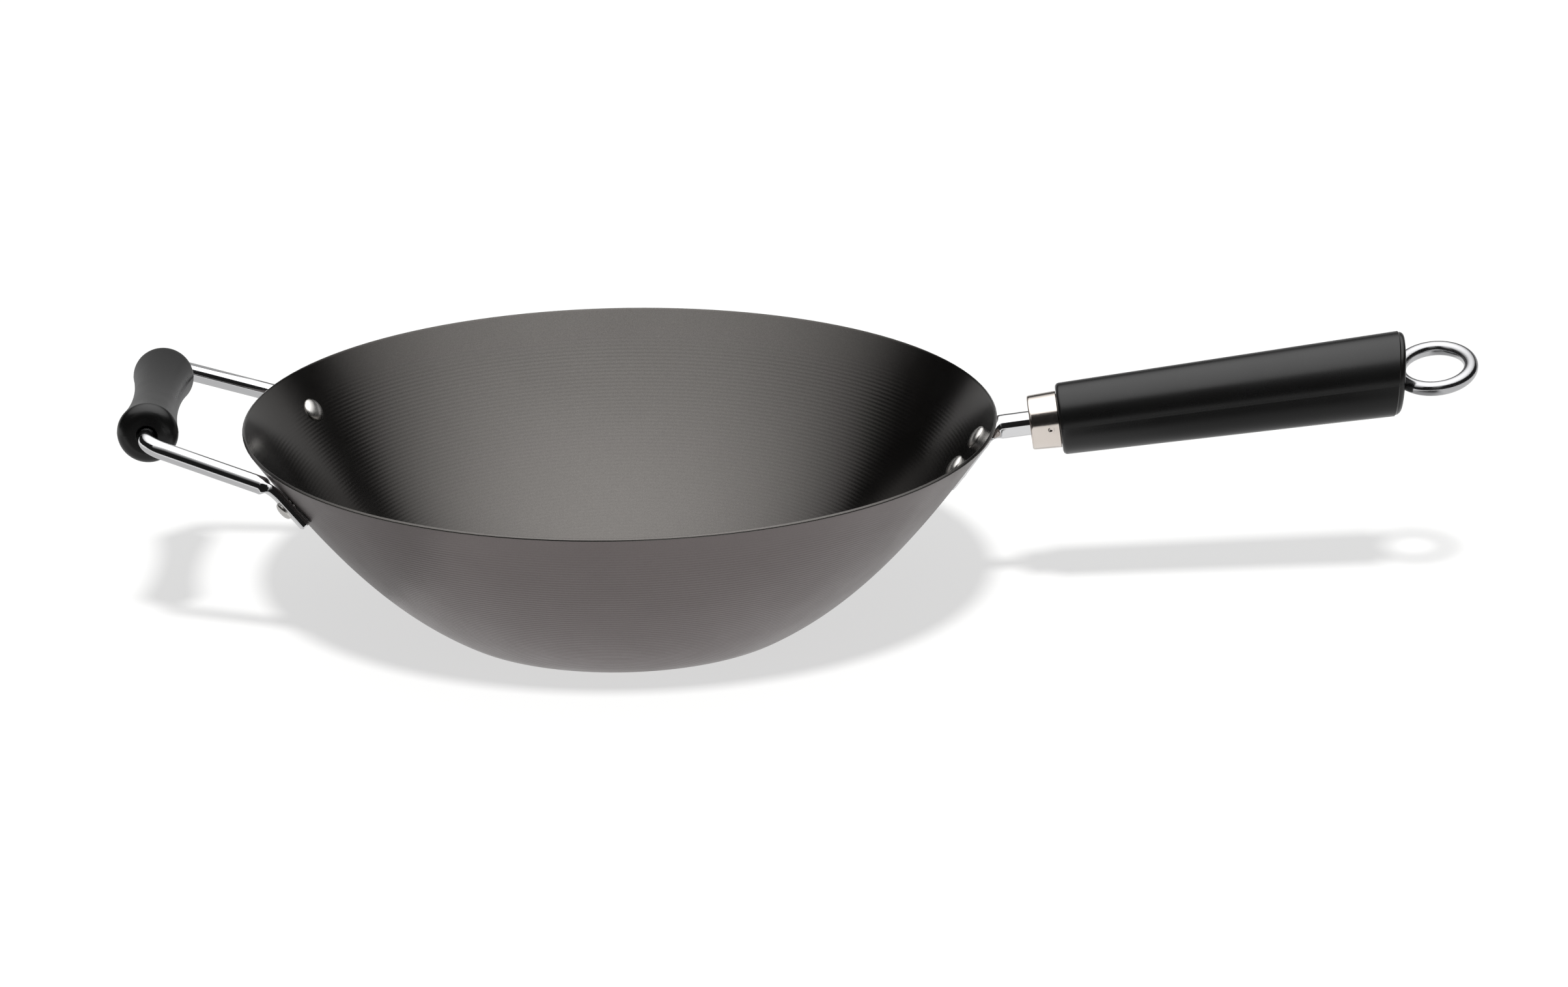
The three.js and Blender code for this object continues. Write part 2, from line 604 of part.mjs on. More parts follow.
const helperGrip = piece("helper_grip", spool(), PHENOLIC);
helperGrip.position.copy(spoolAxis);
wok.add(helperGrip);
wok.add(piece("helper_bail", helperBail(), CHROME));
wok.add(piece("helper_rivet_front", rivet(helperRivets[0], HELPER_PADDLE_THICKNESS), RIVET_STEEL));
wok.add(piece("helper_rivet_back", rivet(helperRivets[1], HELPER_PADDLE_THICKNESS), RIVET_STEEL));

export default wok;
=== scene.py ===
"""Looks of a flat-based non-stick wok: bowl, rods, ferrule and grips, their finishes, and a pale studio.

Sizes are in millimetres until a mesh is made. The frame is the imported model's: +Z is up, +X runs along the
long handle, and the origin is the centre of the base's underside.
"""

import math

import bpy
import numpy as np
from mathutils import Matrix, Vector


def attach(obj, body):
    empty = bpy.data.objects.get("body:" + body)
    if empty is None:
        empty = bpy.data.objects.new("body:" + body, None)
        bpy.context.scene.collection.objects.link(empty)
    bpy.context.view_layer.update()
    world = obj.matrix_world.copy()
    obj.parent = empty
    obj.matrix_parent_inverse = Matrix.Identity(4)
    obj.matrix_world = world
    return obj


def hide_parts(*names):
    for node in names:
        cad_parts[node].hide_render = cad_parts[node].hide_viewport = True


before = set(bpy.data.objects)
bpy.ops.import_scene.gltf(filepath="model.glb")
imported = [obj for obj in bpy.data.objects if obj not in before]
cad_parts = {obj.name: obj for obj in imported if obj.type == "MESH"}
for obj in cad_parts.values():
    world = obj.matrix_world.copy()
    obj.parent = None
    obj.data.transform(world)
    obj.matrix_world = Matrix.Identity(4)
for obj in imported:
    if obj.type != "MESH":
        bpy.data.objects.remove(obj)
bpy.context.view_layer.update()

MM = 0.001
SHARP_ANGLE = math.radians(38)
TO_BACK = np.array([0.0, 1.0, 0.0])

# Bowl
RIM_RADIUS = 155.0
BASE_RADIUS = 75.7
BOWL_DEPTH = 83.4
SHEET = 1.4
WALL_ANGLE_AT_BASE = math.radians(29.9)
WALL_ANGLE_AT_RIM = math.radians(54.9)
BASE_CORNER = 0.9  # reach of the rounding at the base's corner, outside
FLOOR_CORNER = 4.0  # and inside
FLOOR_CORNER_INSET = 0.4  # the inner rounding aims this far inside the base's corner
FIRST_RING = 8.0  # radius of the first ring round the middle of the base and of the floor
RIM_EDGE = 0.42  # rounding of the rim's outer edge
RIM_INNER_EDGE = 0.35
RIM_PLAIN = 1.2  # the outer wall's rows stop this far below the rim
GROOVE_PITCH = 1.67  # measured along the wall
OUTER_GROOVE_DEPTH = 0.10
INNER_GROOVE_DEPTH = 0.018
OUTER_GROOVE_START = 2.6  # from the rim down the wall
OUTER_GROOVE_GROWTH = 16.0  # stretch over which the grooves deepen
OUTER_GROOVE_FADE = 9.0  # last stretch above the base, where the grooves run out
INNER_GROOVE_START = 9.0
INNER_GROOVE_GROWTH = 14.0
INNER_GROOVE_FADE = 9.0
# Painted shade: the coat's colour is darkened at the bottom of each groove, where shade falls
GROOVE_PAINTED_SHADE = 0.97  # share of the coat's colour that is left at the bottom of a groove

# Rivets
SEAT_GAP = 0.3  # between the bowl's wall and a paddle, and round the hidden parts of the long handle
RIVET_RADIUS = 2.5
RIVET_HEAD_RADIUS = 5.25
RIVET_HEAD_HEIGHT = 2.0
RIVET_TAIL_RADIUS = 4.0
RIVET_TAIL_POWERS = (0.85, 0.8)  # of sine and cosine in the outer end, where 1 is round and less is squarer
HELPER_TAIL_HEIGHT = 2.2  # of the helper's rivets, outside
NECK_TAIL_HEIGHT = 1.3
RIVET_BITE = 0.12  # how far a head's edge beds into what it holds
DOME_FIRST_RING = 8  # angle of a dome's first ring from its top, in degrees

# Long handle
HANDLE_RISE = math.radians(7.25)
HANDLE_DROP = 8.0  # where its axis meets the wall, down from the rim
NECK_RADIUS = 5.0
NECK_LENGTH = 18.0  # from the wall to the ferrule's front
NECK_ROD_RINGS = (16.0, 12.0, 9.0)  # places of the bare rod's rings along the handle
NECK_TAIL = 45.0  # beyond the ferrule's front, hidden in the grip
NECK_TAIL_CHAMFER = 0.5
NECK_BORE_CHAMFER = 0.4
NECK_BEND = 4.0  # reach of the bend, to both sides of its corner
NECK_FLAT_BY = 0.75  # share of the bend by which the rod is flat
NECK_PADDLE_THICKNESS = 3.1
NECK_PADDLE_WIDTH = 19.0
NECK_PADDLE_MARGIN = 8.5  # below the lower rivet
NECK_SQUARENESS = 4.0  # of the paddle's section, where 2 is round
NECK_TIP = 5.0  # length of the paddle's rounded end
NECK_TIP_FULLNESS = 2.6  # where 2 is an ellipse
TIP_THINS_FROM = 0.9  # share of a paddle's end after which it thins
TIP_THINNING = 0.55
NECK_RIVET_DROP = 5.4  # from the handle's axis down to the upper rivet
NECK_RIVET_PITCH = 15.4
COLLAR_RADIUS = 9.0
COLLAR_THICKNESS = 2.0
COLLAR_FRONT_FILLET = 0.2
COLLAR_BACK_FILLET = 0.3
FERRULE_LENGTH = 12.0
FERRULE_FRONT_RADIUS = 11.2
FERRULE_BACK_RADIUS = 11.75
FERRULE_WALL = 0.8
FERRULE_EDGE = 0.8
FERRULE_LIP = (0.2, 0.25)  # chamfer of its open edge: in radius and along
FERRULE_HOLE_GAP = 0.1
FERRULE_HOLE_CHAMFER = 0.15
STAKE_RADIUS = 0.55
STAKE_DEPTH = 0.42
STAKE_SETBACK = 3.8  # from the ferrule's back
STAKE_TURN = math.radians(92.5)  # from the top to the front
STAKE_RING_RADIUS = 2.0  # of the low ring round the stake, as a share of the stake's own
STAKE_RING_WIDTH = 0.6  # half the ring's width, as a share of the stake's radius
STAKE_RING_HEIGHT = 0.05  # as a share of the stake's depth
GRIP_LENGTH = 141.6
GRIP_FRONT_RADIUS = 14.8
GRIP_BACK_RADIUS = 17.3
GRIP_FRONT_EDGE = 1.8
GRIP_SHOULDER_GAP = 0.15  # behind the ferrule
GRIP_LIP = 0.5  # step in from the flank to the back edge's rounding
GRIP_BACK_EDGE = 2.2
GRIP_CROWN = 1.0  # how far the middle of the end stands out
GRIP_END_SLANT = math.radians(10)
GRIP_SLANT_LENGTH = 30.0  # last stretch, over which the lean is eased in
SPIGOT_GAP = 0.1  # between the grip's spigot and the ferrule round it
SPIGOT_CHAMFER = 0.4
PARTING_HEIGHT = 0.035  # flash left where the mould's halves met
PARTING_WIDTH = 0.4
LOOP_RADIUS = 14.785  # to the middle of its wire
LOOP_WIRE_RADIUS = 3.0
LOOP_SINK = 1.2  # how far the middle of its wire dips into the grip's end
LOOP_ROLL = math.radians(16)
LOOP_CLEARANCE = 0.3  # round the loop and its washer
LOOP_SHOULDER = [(0.0, -0.25), (0.9, 0.5), (0.5, 1.6)]  # swell of the tie rod, and distance behind the seat
TIE_ROD_RADIUS = 2.5
TIE_ROD_GRIP = 17.0  # length screwed into the neck's tail
TIE_ROD_POINT = 0.2  # its end is this much thinner than the thread's root
THREAD_PITCH = 0.8
THREAD_DEPTH = 0.36
THREAD_START = 0.3  # from the rod's end
THREAD_MARGIN = 0.5  # from the end of the neck's tail
THREAD_RUNOUT = 3.0
WASHER_RADIUS = 8.0
WASHER_THICKNESS = 1.2
WASHER_CHAMFER = 0.2

# Helper handle
HELPER_REACH = 35.3  # of the spool's axis, out from the rim
HELPER_LIFT = 8.8  # and up from it
HELPER_HALF_SPAN = 53.1  # from the rod's middle to its corner
HELPER_ROD_RADIUS = 3.7
HELPER_BEND = 9.0  # reach of the corner's bend
HELPER_RIVET_ANGLE = math.radians(24.8)
HELPER_RIVET_DROP = 18.0
HELPER_PADDLE_THICKNESS = 3.6
HELPER_PADDLE_WIDTH = 13.0
HELPER_PADDLE_ABOVE = 10.0  # from the rivet up to the crank's corner
HELPER_PADDLE_BELOW = 10.5  # and down to the paddle's end
HELPER_PADDLE_BEND = 5.0  # reach of the crank's bend
HELPER_FLAT_BY = 0.5  # share of the crank by which the rod is flat
HELPER_SQUARENESS = 9.0  # of the paddle's section, where 2 is round
HELPER_TIP = 1.4
HELPER_TIP_FULLNESS = 5.0
SPOOL_HALF_LENGTH = 42.6
SPOOL_END_RADIUS = 12.5
SPOOL_WAIST_RADIUS = 9.6
SPOOL_END_EDGE = 5.3
SPOOL_MOUTH = 0.5  # chamfer of the bore's ends
SPOOL_CLEARANCE = 0.4

# Rows and columns of the grids
EDGE_ROWS = 7
BASE_ROWS = 9
CORNER_ROWS = 8
SMOOTH_ROWS = 16  # inside the bowl, above its grooves
GROOVE_STEPS = 5  # rows of points to a groove
BOWL_COLUMNS = 128
DOME_ROWS = 12
RIVET_COLUMNS = 48
BEND_ROWS = 25
NECK_PADDLE_ROWS = 14
TIP_STEPS = 9
HELPER_CORNER_ROWS = 21
ROD_COLUMNS = 32
FERRULE_ROWS = 70
FERRULE_COLUMNS = 320
GRIP_ROWS = 70
GRIP_FRONT_EDGE_ROWS = 9
GRIP_BACK_EDGE_ROWS = 11
GRIP_FACE_ROWS = 5
DISH_ROWS = 10
DISH_HALVINGS = 40  # steps of the search for the dish's mouth
GRIP_COLUMNS = 144
WASHER_COLUMNS = 64
RING_ROWS = 112
WIRE_COLUMNS = 36
THREAD_STEPS = 8  # rows of points to a turn of the thread
STEM_COLUMNS = 24
SPOOL_ROWS = 61
SPOOL_EDGE_ROWS = 13
SPOOL_COLUMNS = 112

# Finishes: a dark and a light colour, and the least and the most roughness
INSIDE_COAT = ((0.091, 0.086, 0.082), (0.117, 0.111, 0.1055), 0.17, 0.22)
OUTSIDE_COAT = ((0.145, 0.1265, 0.1245), (0.169, 0.1485, 0.1465), 0.34, 0.42)
BRIGHT_CHROME = ((0.70, 0.70, 0.71), (0.77, 0.77, 0.78), 0.07, 0.13)
DULL_CHROME = ((0.42, 0.42, 0.43), (0.53, 0.53, 0.54), 0.14, 0.22)
RIVET_STEEL = ((0.62, 0.60, 0.575), (0.74, 0.725, 0.70), 0.20, 0.32)
SATIN_NICKEL = ((0.70, 0.635, 0.58), (0.79, 0.725, 0.675), 0.13, 0.18)
BLACK_PHENOLIC = ((0.0024, 0.0024, 0.0024), (0.0054, 0.0052, 0.0051), 0.25, 0.31)
ZINC_PLATE = ((0.40, 0.42, 0.44), (0.58, 0.59, 0.61), 0.32, 0.48)
GLOSS_RANGE = (0.3, 0.7)  # levels of a mask at which the roughness is least and most

# Camera
CAMERA_PLACE = (0.06666, -2.54564, 0.90370)
CAMERA_YAW = math.radians(0.006)
CAMERA_PITCH = math.radians(18.540)
CAMERA_ROLL = math.radians(-0.7693)
CAMERA_LENS = 149.50
CAMERA_SENSOR = 36.0
CAMERA_FAR = 50.0

# Studio
KEY_TILT = math.radians(35)  # from overhead towards the camera
KEY_SPREAD = math.radians(6.5)
KEY_STRENGTH = 2.8
SOFTBOX_PLACE = (0.14, 0.0, 1.9)
SOFTBOX_EDGE = math.radians(62.5)  # angle from overhead at which its light ends
SOFTBOX_FIRST_RING = 0.002  # angle of its first ring
SOFTBOX_RINGS = 28
SOFTBOX_FALL = 2.25
SOFTBOX_LEVEL = 2.34
SKY_STRENGTH = 0.25
FLOOR_HALF = 6.0
FLOOR_COLOUR = (0.44, 0.44, 0.435, 1)
FLOOR_GLOW = 0.62
FLOOR_GLOW_MIRRORED = 0.48
TABLE_PLACE = (0.012, -0.008, -0.0005)  # the lit table under the base
TABLE_RADII = [0.001, 0.08, 0.10, 0.12, 0.145]
TABLE_LEVELS = [0.92, 0.92, 0.88, 0.84, 0.76]
PANEL_COLUMNS = 65  # of a round panel
DARK_LEVEL = 0.012
PALE_LEVEL = 0.5  # at the edges of the dark mat, which fade
SURROUND_RADIUS = 1.5
SURROUND_FRONT = math.radians(52)  # height of the dark surround as an angle, towards the camera
SURROUND_SIDE = math.radians(35.5)
SURROUND_BACK = math.radians(30)
SURROUND_COLUMNS = 241
BACK_GAP = math.radians(17)  # open strip below it at the back
BACK_GAP_EASE = (0.35, 0.65)  # shares of the way to the back between which the strip opens
BACK_GAP_LEAN = 0.25  # how much taller that is towards the right, as a share
BACK_LEVEL = 0.42  # of the grey backdrop in that strip
MAT_START = -0.22  # where the dark mat begins on the floor in front
MAT_END = 0.03  # and where it ends towards the long handle
MAT_FADE = 0.06
LEFT_CARD = [(-0.5, -0.105), (-0.16, 0.6)]  # a grey card on the floor at the left: its reach in x and in y
LEFT_CARD_LEVEL = 0.6
GRIP_MAT = [(0.187, 0.24, 0.325, 0.37), (-0.45, -0.13, -0.065, 0.06)]  # a mat under the long grip
GRIP_MAT_LEVELS = np.array([  # darker in front, and faded towards the loop
    [0.03, 0.03, 0.03, 0.9], [0.12, 0.12, 0.12, 0.9], [0.85, 0.45, 0.45, 0.9], [0.9, 0.55, 0.55, 0.9],
])
HANDLES_HEIGHT = 0.09
HUNG_CARDS = [  # name, reach in x, place in y, angles of the rows seen from the handles, and their levels
    ("helper_card", (-0.6, -0.05), -0.45, (24, 40, 56), (0.03, 0.35, 1.1)),  # in front of the helper handle
    ("grip_card", (0.195, 0.37), -0.45, (10, 30, 52), (0.012, 0.1, 0.6)),  # in front of the long grip
    ("spool_card", (-0.30, -0.15), 0.075, (-22, 45), (0.42, 0.42)),  # close behind the spool
]


def ease(value, low, high):
    """Smooth step, 0 at low and 1 at high: 3 t squared less 2 t cubed."""
    t = np.clip((value - low) / (high - low), 0, 1)
    return t * t * (3 - 2 * t)


def unit(vectors):
    """Vectors divided by their lengths."""
    return vectors / np.linalg.norm(vectors, axis=-1, keepdims=True)


def bend_curve(start, corner, end, steps):
    """Points and directions of a quadratic curve: (1-t)^2 start + 2 t (1-t) corner + t^2 end."""
    t = np.linspace(0, 1, steps)[:, None]
    points = (1 - t) ** 2 * start + 2 * t * (1 - t) * corner + t**2 * end
    slopes = (1 - t) * (corner - start) + t * (end - corner)
    return points, unit(slopes)


def skin(rings, start=None, end=None, closed=False):
    """Points, quads and fans of a skin over rings of points, rows by columns by 3, each closed on itself.

    The skin ends in a fan at a start or end point that is given, or, closed, runs from the last ring to the
    first. Its volume, the sum over triangles of a . (b x c) / 6, says whether the faces point outwards; if
    not, they turn.
    """
    rows, columns, _ = rings.shape
    row = np.arange(rows if closed else rows - 1)[:, None]
    column = np.arange(columns)[None, :]
    near = row * columns
    far = (row + 1) % rows * columns
    after = (column + 1) % columns
    corners = np.broadcast_arrays(near + column, near + after, far + after, far + column)
    quads = np.stack(corners, axis=-1).reshape(-1, 4)
    points = rings.reshape(-1, 3)
    here = np.arange(columns)
    following = (here + 1) % columns
    fans = []
    if start is not None:
        fans.append(np.stack([np.full(columns, len(points)), following, here], axis=-1))
        points = np.vstack([points, start])
    if end is not None:
        last = (rows - 1) * columns
        fans.append(np.stack([np.full(columns, len(points)), last + here, last + following], axis=-1))
        points = np.vstack([points, end])
    fans = np.vstack(fans) if fans else np.empty((0, 3), int)
    triangles = np.vstack([quads[:, [0, 1, 2]], quads[:, [0, 2, 3]], fans])
    a, b, c = (points[triangles[:, i]] for i in range(3))
    if np.einsum("ij,ij->", a, np.cross(b, c)) < 0:
        quads = quads[:, ::-1]
        fans = fans[:, ::-1]
    return points, quads, fans


def put(name, shells, finishes, node, body, finish_of_face=None):
    """Makes one piece of some closed skins, at the origin, in place of a node and riding on its body."""
    points = []
    faces = []
    count = 0
    for shell_points, quads, fans in shells:
        points.append(shell_points)
        faces += (quads + count).tolist() + (fans + count).tolist()
        count += len(shell_points)
    mesh = bpy.data.meshes.new(name)
    mesh.from_pydata((np.vstack(points) * MM).tolist(), [], faces)
    mesh.polygons.foreach_set("use_smooth", np.ones(len(faces), dtype=bool))
    for finish in finishes:
        mesh.materials.append(finish)
    if finish_of_face is not None:
        mesh.polygons.foreach_set("material_index", finish_of_face.astype(np.int32))
    mesh.update()
    mesh.set_sharp_from_angle(angle=SHARP_ANGLE)
    piece = bpy.data.objects.new(name, mesh)
    bpy.context.scene.collection.objects.link(piece)
    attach(piece, body)
    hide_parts(node)
    return piece


# The bowl's wall: one cubic curve in the plane of radius and height, from the base's corner to the rim.
def wall_table(steps=4000):
    """Distance down from the rim, points and outward normals along the wall, from the rim to the base.

    The curve is (1-t)^3 P0 + 3 t (1-t)^2 P1 + 3 t^2 (1-t) P2 + t^3 P3. P1 and P2 lie a third of the chord
    from the curve's ends.
    """
    low = np.array([BASE_RADIUS, 0.0])
    high = np.array([RIM_RADIUS, BOWL_DEPTH])
    third = np.linalg.norm(high - low) / 3
    low_way = np.array([math.cos(WALL_ANGLE_AT_BASE), math.sin(WALL_ANGLE_AT_BASE)])
    high_way = np.array([math.cos(WALL_ANGLE_AT_RIM), math.sin(WALL_ANGLE_AT_RIM)])
    p0, p1, p2, p3 = low, low + third * low_way, high - third * high_way, high
    t = np.linspace(1, 0, steps)[:, None]
    points = (1 - t) ** 3 * p0 + 3 * t * (1 - t) ** 2 * p1 + 3 * t**2 * (1 - t) * p2 + t**3 * p3
    slopes = unit((1 - t) ** 2 * (p1 - p0) + 2 * t * (1 - t) * (p2 - p1) + t**2 * (p3 - p2))
    normals = np.stack([slopes[:, 1], -slopes[:, 0]], axis=-1)
    drops = np.append(0, np.cumsum(np.linalg.norm(np.diff(points, axis=0), axis=1)))
    return drops, points, normals


WALL_DROPS, WALL_POINTS, WALL_NORMALS = wall_table()
WALL_LENGTH = WALL_DROPS[-1]


def wall_at(drop):
    """The outer wall's points and normals, as radius and height, at distances down from the rim."""
    points = np.stack([np.interp(drop, WALL_DROPS, WALL_POINTS[:, i]) for i in range(2)], axis=-1)
    normals = np.stack([np.interp(drop, WALL_DROPS, WALL_NORMALS[:, i]) for i in range(2)], axis=-1)
    return points, unit(normals)


def wall_place(azimuth, drop):
    """One point of the outer wall and the normal out of the bowl, in space."""
    (radius, height), (out, up) = wall_at(drop)
    spoke = np.array([math.cos(azimuth), math.sin(azimuth), 0.0])
    return spoke * radius + [0, 0, height], spoke * out + [0, 0, up]


def groove_share(drop, start, growth, fade):
    """How deep a point of the wall lies in the turned grooves, 0 to 1: a raised cosine along the wall.

    It is eased in from the start over the growth, and eased out over the last stretch above the base.
    """
    wave = 0.5 - 0.5 * np.cos(2 * math.pi * drop / GROOVE_PITCH)
    reach = ease(drop, start, start + growth)
    return wave * reach * (1 - ease(drop, WALL_LENGTH - fade, WALL_LENGTH - BASE_CORNER))


def bowl_profile():
    """Radius and height round the sheet's section, from the base's middle out, over the rim and back inside.

    Both walls carry grooves, cut along the normal. The rim is cut square to the wall, with two rounded
    edges. Beside the points it gives each one's groove share, and whether it has the inside's coat.
    """
    step = GROOVE_PITCH / GROOVE_STEPS
    base_radius = np.linspace(FIRST_RING, BASE_RADIUS - BASE_CORNER, BASE_ROWS)
    base = np.stack([base_radius, np.zeros(BASE_ROWS)], axis=-1)
    corner_end, _ = wall_at(WALL_LENGTH - BASE_CORNER)
    base_corner, _ = bend_curve(base[-1], np.array([BASE_RADIUS, 0.0]), corner_end, CORNER_ROWS)
    outer_drop = np.arange(WALL_LENGTH - BASE_CORNER - step, RIM_PLAIN, -step)
    outer, outward = wall_at(outer_drop)
    outer_share = groove_share(outer_drop, OUTER_GROOVE_START, OUTER_GROOVE_GROWTH, OUTER_GROOVE_FADE)
    outer = outer - outward * (OUTER_GROOVE_DEPTH * outer_share)[:, None]
    way = np.array([math.cos(WALL_ANGLE_AT_RIM), math.sin(WALL_ANGLE_AT_RIM)])
    out = np.array([way[1], -way[0]])
    rim = np.array([RIM_RADIUS, BOWL_DEPTH])
    turn = np.radians(np.linspace(0, 90, EDGE_ROWS))[:, None]
    edge = rim - RIM_EDGE * (way + out) + RIM_EDGE * (np.cos(turn) * out + np.sin(turn) * way)
    inner_corner = rim - SHEET * out - RIM_INNER_EDGE * (way - out)
    inner_edge = inner_corner + RIM_INNER_EDGE * (np.cos(turn) * way - np.sin(turn) * out)
    smooth_drop = np.linspace(RIM_INNER_EDGE, INNER_GROOVE_START, SMOOTH_ROWS)[1:]
    grooved_drop = np.arange(INNER_GROOVE_START + step, WALL_LENGTH - FLOOR_CORNER, step)
    inner_drop = np.append(smooth_drop, grooved_drop)
    inner, outward = wall_at(inner_drop)
    inner_share = groove_share(inner_drop, INNER_GROOVE_START, INNER_GROOVE_GROWTH, INNER_GROOVE_FADE)
    inner = inner - outward * (SHEET - INNER_GROOVE_DEPTH * inner_share)[:, None]
    floor_corner = np.array([BASE_RADIUS - FLOOR_CORNER_INSET, SHEET])
    floor_end = np.array([BASE_RADIUS - 2 * FLOOR_CORNER, SHEET])
    floor_bend, _ = bend_curve(inner[-1], floor_corner, floor_end, CORNER_ROWS)
    floor_radius = np.linspace(floor_end[0], FIRST_RING, BASE_ROWS)
    floor = np.stack([floor_radius, np.full(BASE_ROWS, SHEET)], axis=-1)
    stretches = [base, base_corner[1:], outer, edge, inner_edge, inner, floor_bend[1:], floor[1:]]
    shares = [np.zeros(len(stretch)) for stretch in stretches]
    shares[2] = outer_share
    shares[5] = inner_share
    profile = np.vstack(stretches)
    rows_outside = sum(len(stretch) for stretch in stretches[:3])
    return profile, np.concatenate(shares), np.arange(len(profile)) >= rows_outside


def bowl(finishes):
    """The pressed bowl: its section turned about +Z, x = r cos a and y = r sin a.

    Its points hold their groove share, which the coat reads to paint shade into the grooves.
    """
    profile, share, is_inside = bowl_profile()
    angle = around(BOWL_COLUMNS)
    radius = profile[:, :1]
    height = np.broadcast_to(profile[:, 1:], (len(profile), BOWL_COLUMNS))
    rings = np.stack([radius * np.cos(angle), radius * np.sin(angle), height], axis=-1)
    shell = skin(rings, start=[[0, 0, 0]], end=[[0, 0, SHEET]])
    by_row = np.repeat(is_inside[:-1], BOWL_COLUMNS)
    poles = np.repeat([False, True], BOWL_COLUMNS)
    piece = put("bowl", [shell], finishes, "wok_bowl", "wok", np.append(by_row, poles))
    # The groove share, by which the coat paints shade into the grooves
    groove = piece.data.attributes.new("groove", "FLOAT", "POINT")
    groove.data.foreach_set("value", np.append(np.repeat(share, BOWL_COLUMNS), [0, 0]).astype(np.float32))


def turned(radius, along, angle):
    """Rings about +X: points (along, -r sin a, r cos a), so a = 0 is the top and a grows to the front."""
    radius, along, angle = np.broadcast_arrays(radius, along, angle)
    return np.stack([along, -radius * np.sin(angle), radius * np.cos(angle)], axis=-1)


def by_angle(profile, angle):
    """The radii of a section's rows and their distances along, each repeated for every angle."""
    return [np.tile(profile[:, i : i + 1], (1, len(angle))) for i in range(2)]


def around(columns):
    """Even angles round a turned piece."""
    return np.arange(columns) * 2 * math.pi / columns


def seamed_angles(columns):
    """Angles round a moulded piece, closer at its two parting lines, a quarter turn from the top."""
    close = np.radians([-4, -2.6, -1.7, -1.1, -0.6, 0.6, 1.1, 1.7, 2.6, 4])
    seams = np.concatenate([math.pi / 2 + close, 3 * math.pi / 2 + close])
    return np.unique(np.append(around(columns), seams).round(7))


def parting_flash(angle, radius):
    """Height of the mould's flash: a bell curve across each parting line, by distance round the piece."""
    from_seam = np.abs(np.abs(np.mod(angle, 2 * math.pi) - math.pi) - math.pi / 2)
    return PARTING_HEIGHT * np.exp(-((from_seam * radius / PARTING_WIDTH) ** 2))


def quarter(centre_along, centre_radius, size, start, end, steps=EDGE_ROWS):
    """A rounded corner of a turned section, as (radius, along) rows, between two angles in degrees."""
    turn = np.radians(np.linspace(start, end, steps))
    return np.stack([centre_radius + size * np.cos(turn), centre_along + size * np.sin(turn)], axis=-1)


# The long handle's own frame: along its axis, across to the back, and up.
HANDLE_ROOT, HANDLE_ROOT_NORMAL = wall_place(0, HANDLE_DROP)
HANDLE_FRAME = np.array([
    [math.cos(HANDLE_RISE), 0, math.sin(HANDLE_RISE)],
    [0, 1, 0],
    [-math.sin(HANDLE_RISE), 0, math.cos(HANDLE_RISE)],
])
FERRULE_FRONT = NECK_LENGTH
FERRULE_BACK = FERRULE_FRONT + FERRULE_LENGTH
GRIP_SHOULDER = FERRULE_BACK + GRIP_SHOULDER_GAP
GRIP_END = FERRULE_BACK + SEAT_GAP + GRIP_LENGTH
NECK_TAIL_END = FERRULE_FRONT + NECK_TAIL
TIE_ROD_END = NECK_TAIL_END - TIE_ROD_GRIP
LOOP_CENTRE = GRIP_END - LOOP_SINK + LOOP_RADIUS
LOOP_SEAT = GRIP_END - LOOP_SINK - LOOP_WIRE_RADIUS
WASHER_FRONT = LOOP_SEAT - LOOP_CLEARANCE - WASHER_THICKNESS
NECK_RIVET_DROPS = [HANDLE_DROP + NECK_RIVET_DROP, HANDLE_DROP + NECK_RIVET_DROP + NECK_RIVET_PITCH]


def in_handle(points):
    """Points of the handle's frame, in the wok's frame."""
    return HANDLE_ROOT + points @ HANDLE_FRAME


def rod(centres, ways, sides, half_widths, half_thicknesses, squareness):
    """Rings of a bar along a path.

    A ring is a superellipse: each of cosine and sine is raised to 2 / squareness, then scaled by the half
    width across the path and by the half thickness towards the side.
    """
    across = unit(np.cross(ways, sides))
    through = np.cross(across, ways)
    angle = around(ROD_COLUMNS)
    power = 2 / squareness[:, None]
    wide = np.sign(np.cos(angle)) * np.abs(np.cos(angle)) ** power * half_widths[:, None]
    thick = np.sign(np.sin(angle)) * np.abs(np.sin(angle)) ** power * half_thicknesses[:, None]
    return centres[:, None] + across[:, None] * wide[..., None] + through[:, None] * thick[..., None]


def rounded_end(point, way, length, half_width, half_thickness, fullness):
    """Rows that close a paddle, and its last point.

    With s the share of the length, the half width shrinks by the root of 1 - s to the power of the
    fullness, and the thickness near the tip only.
    """
    t = np.linspace(0, 1, TIP_STEPS + 1)[1:-1]
    run = np.sin(t * math.pi / 2)
    centres = point + way * (run * length)[:, None]
    widths = half_width * np.sqrt(1 - run**fullness)
    thicknesses = half_thickness * (1 - TIP_THINNING * ease(run, TIP_THINS_FROM, 1.0))
    return centres, widths, thicknesses, point + way * length


def flattened(radius, half_width, half_thickness, flat, end_widths, end_thicknesses):
    """Half widths and thicknesses of a rod that goes flat by a share, and ends in a paddle's last rows."""
    widths = radius + (half_width - radius) * flat
    thick = radius + (half_thickness - radius) * flat
    widths[-len(end_widths) :] = end_widths
    thick[-len(end_thicknesses) :] = end_thicknesses
    return widths, thick


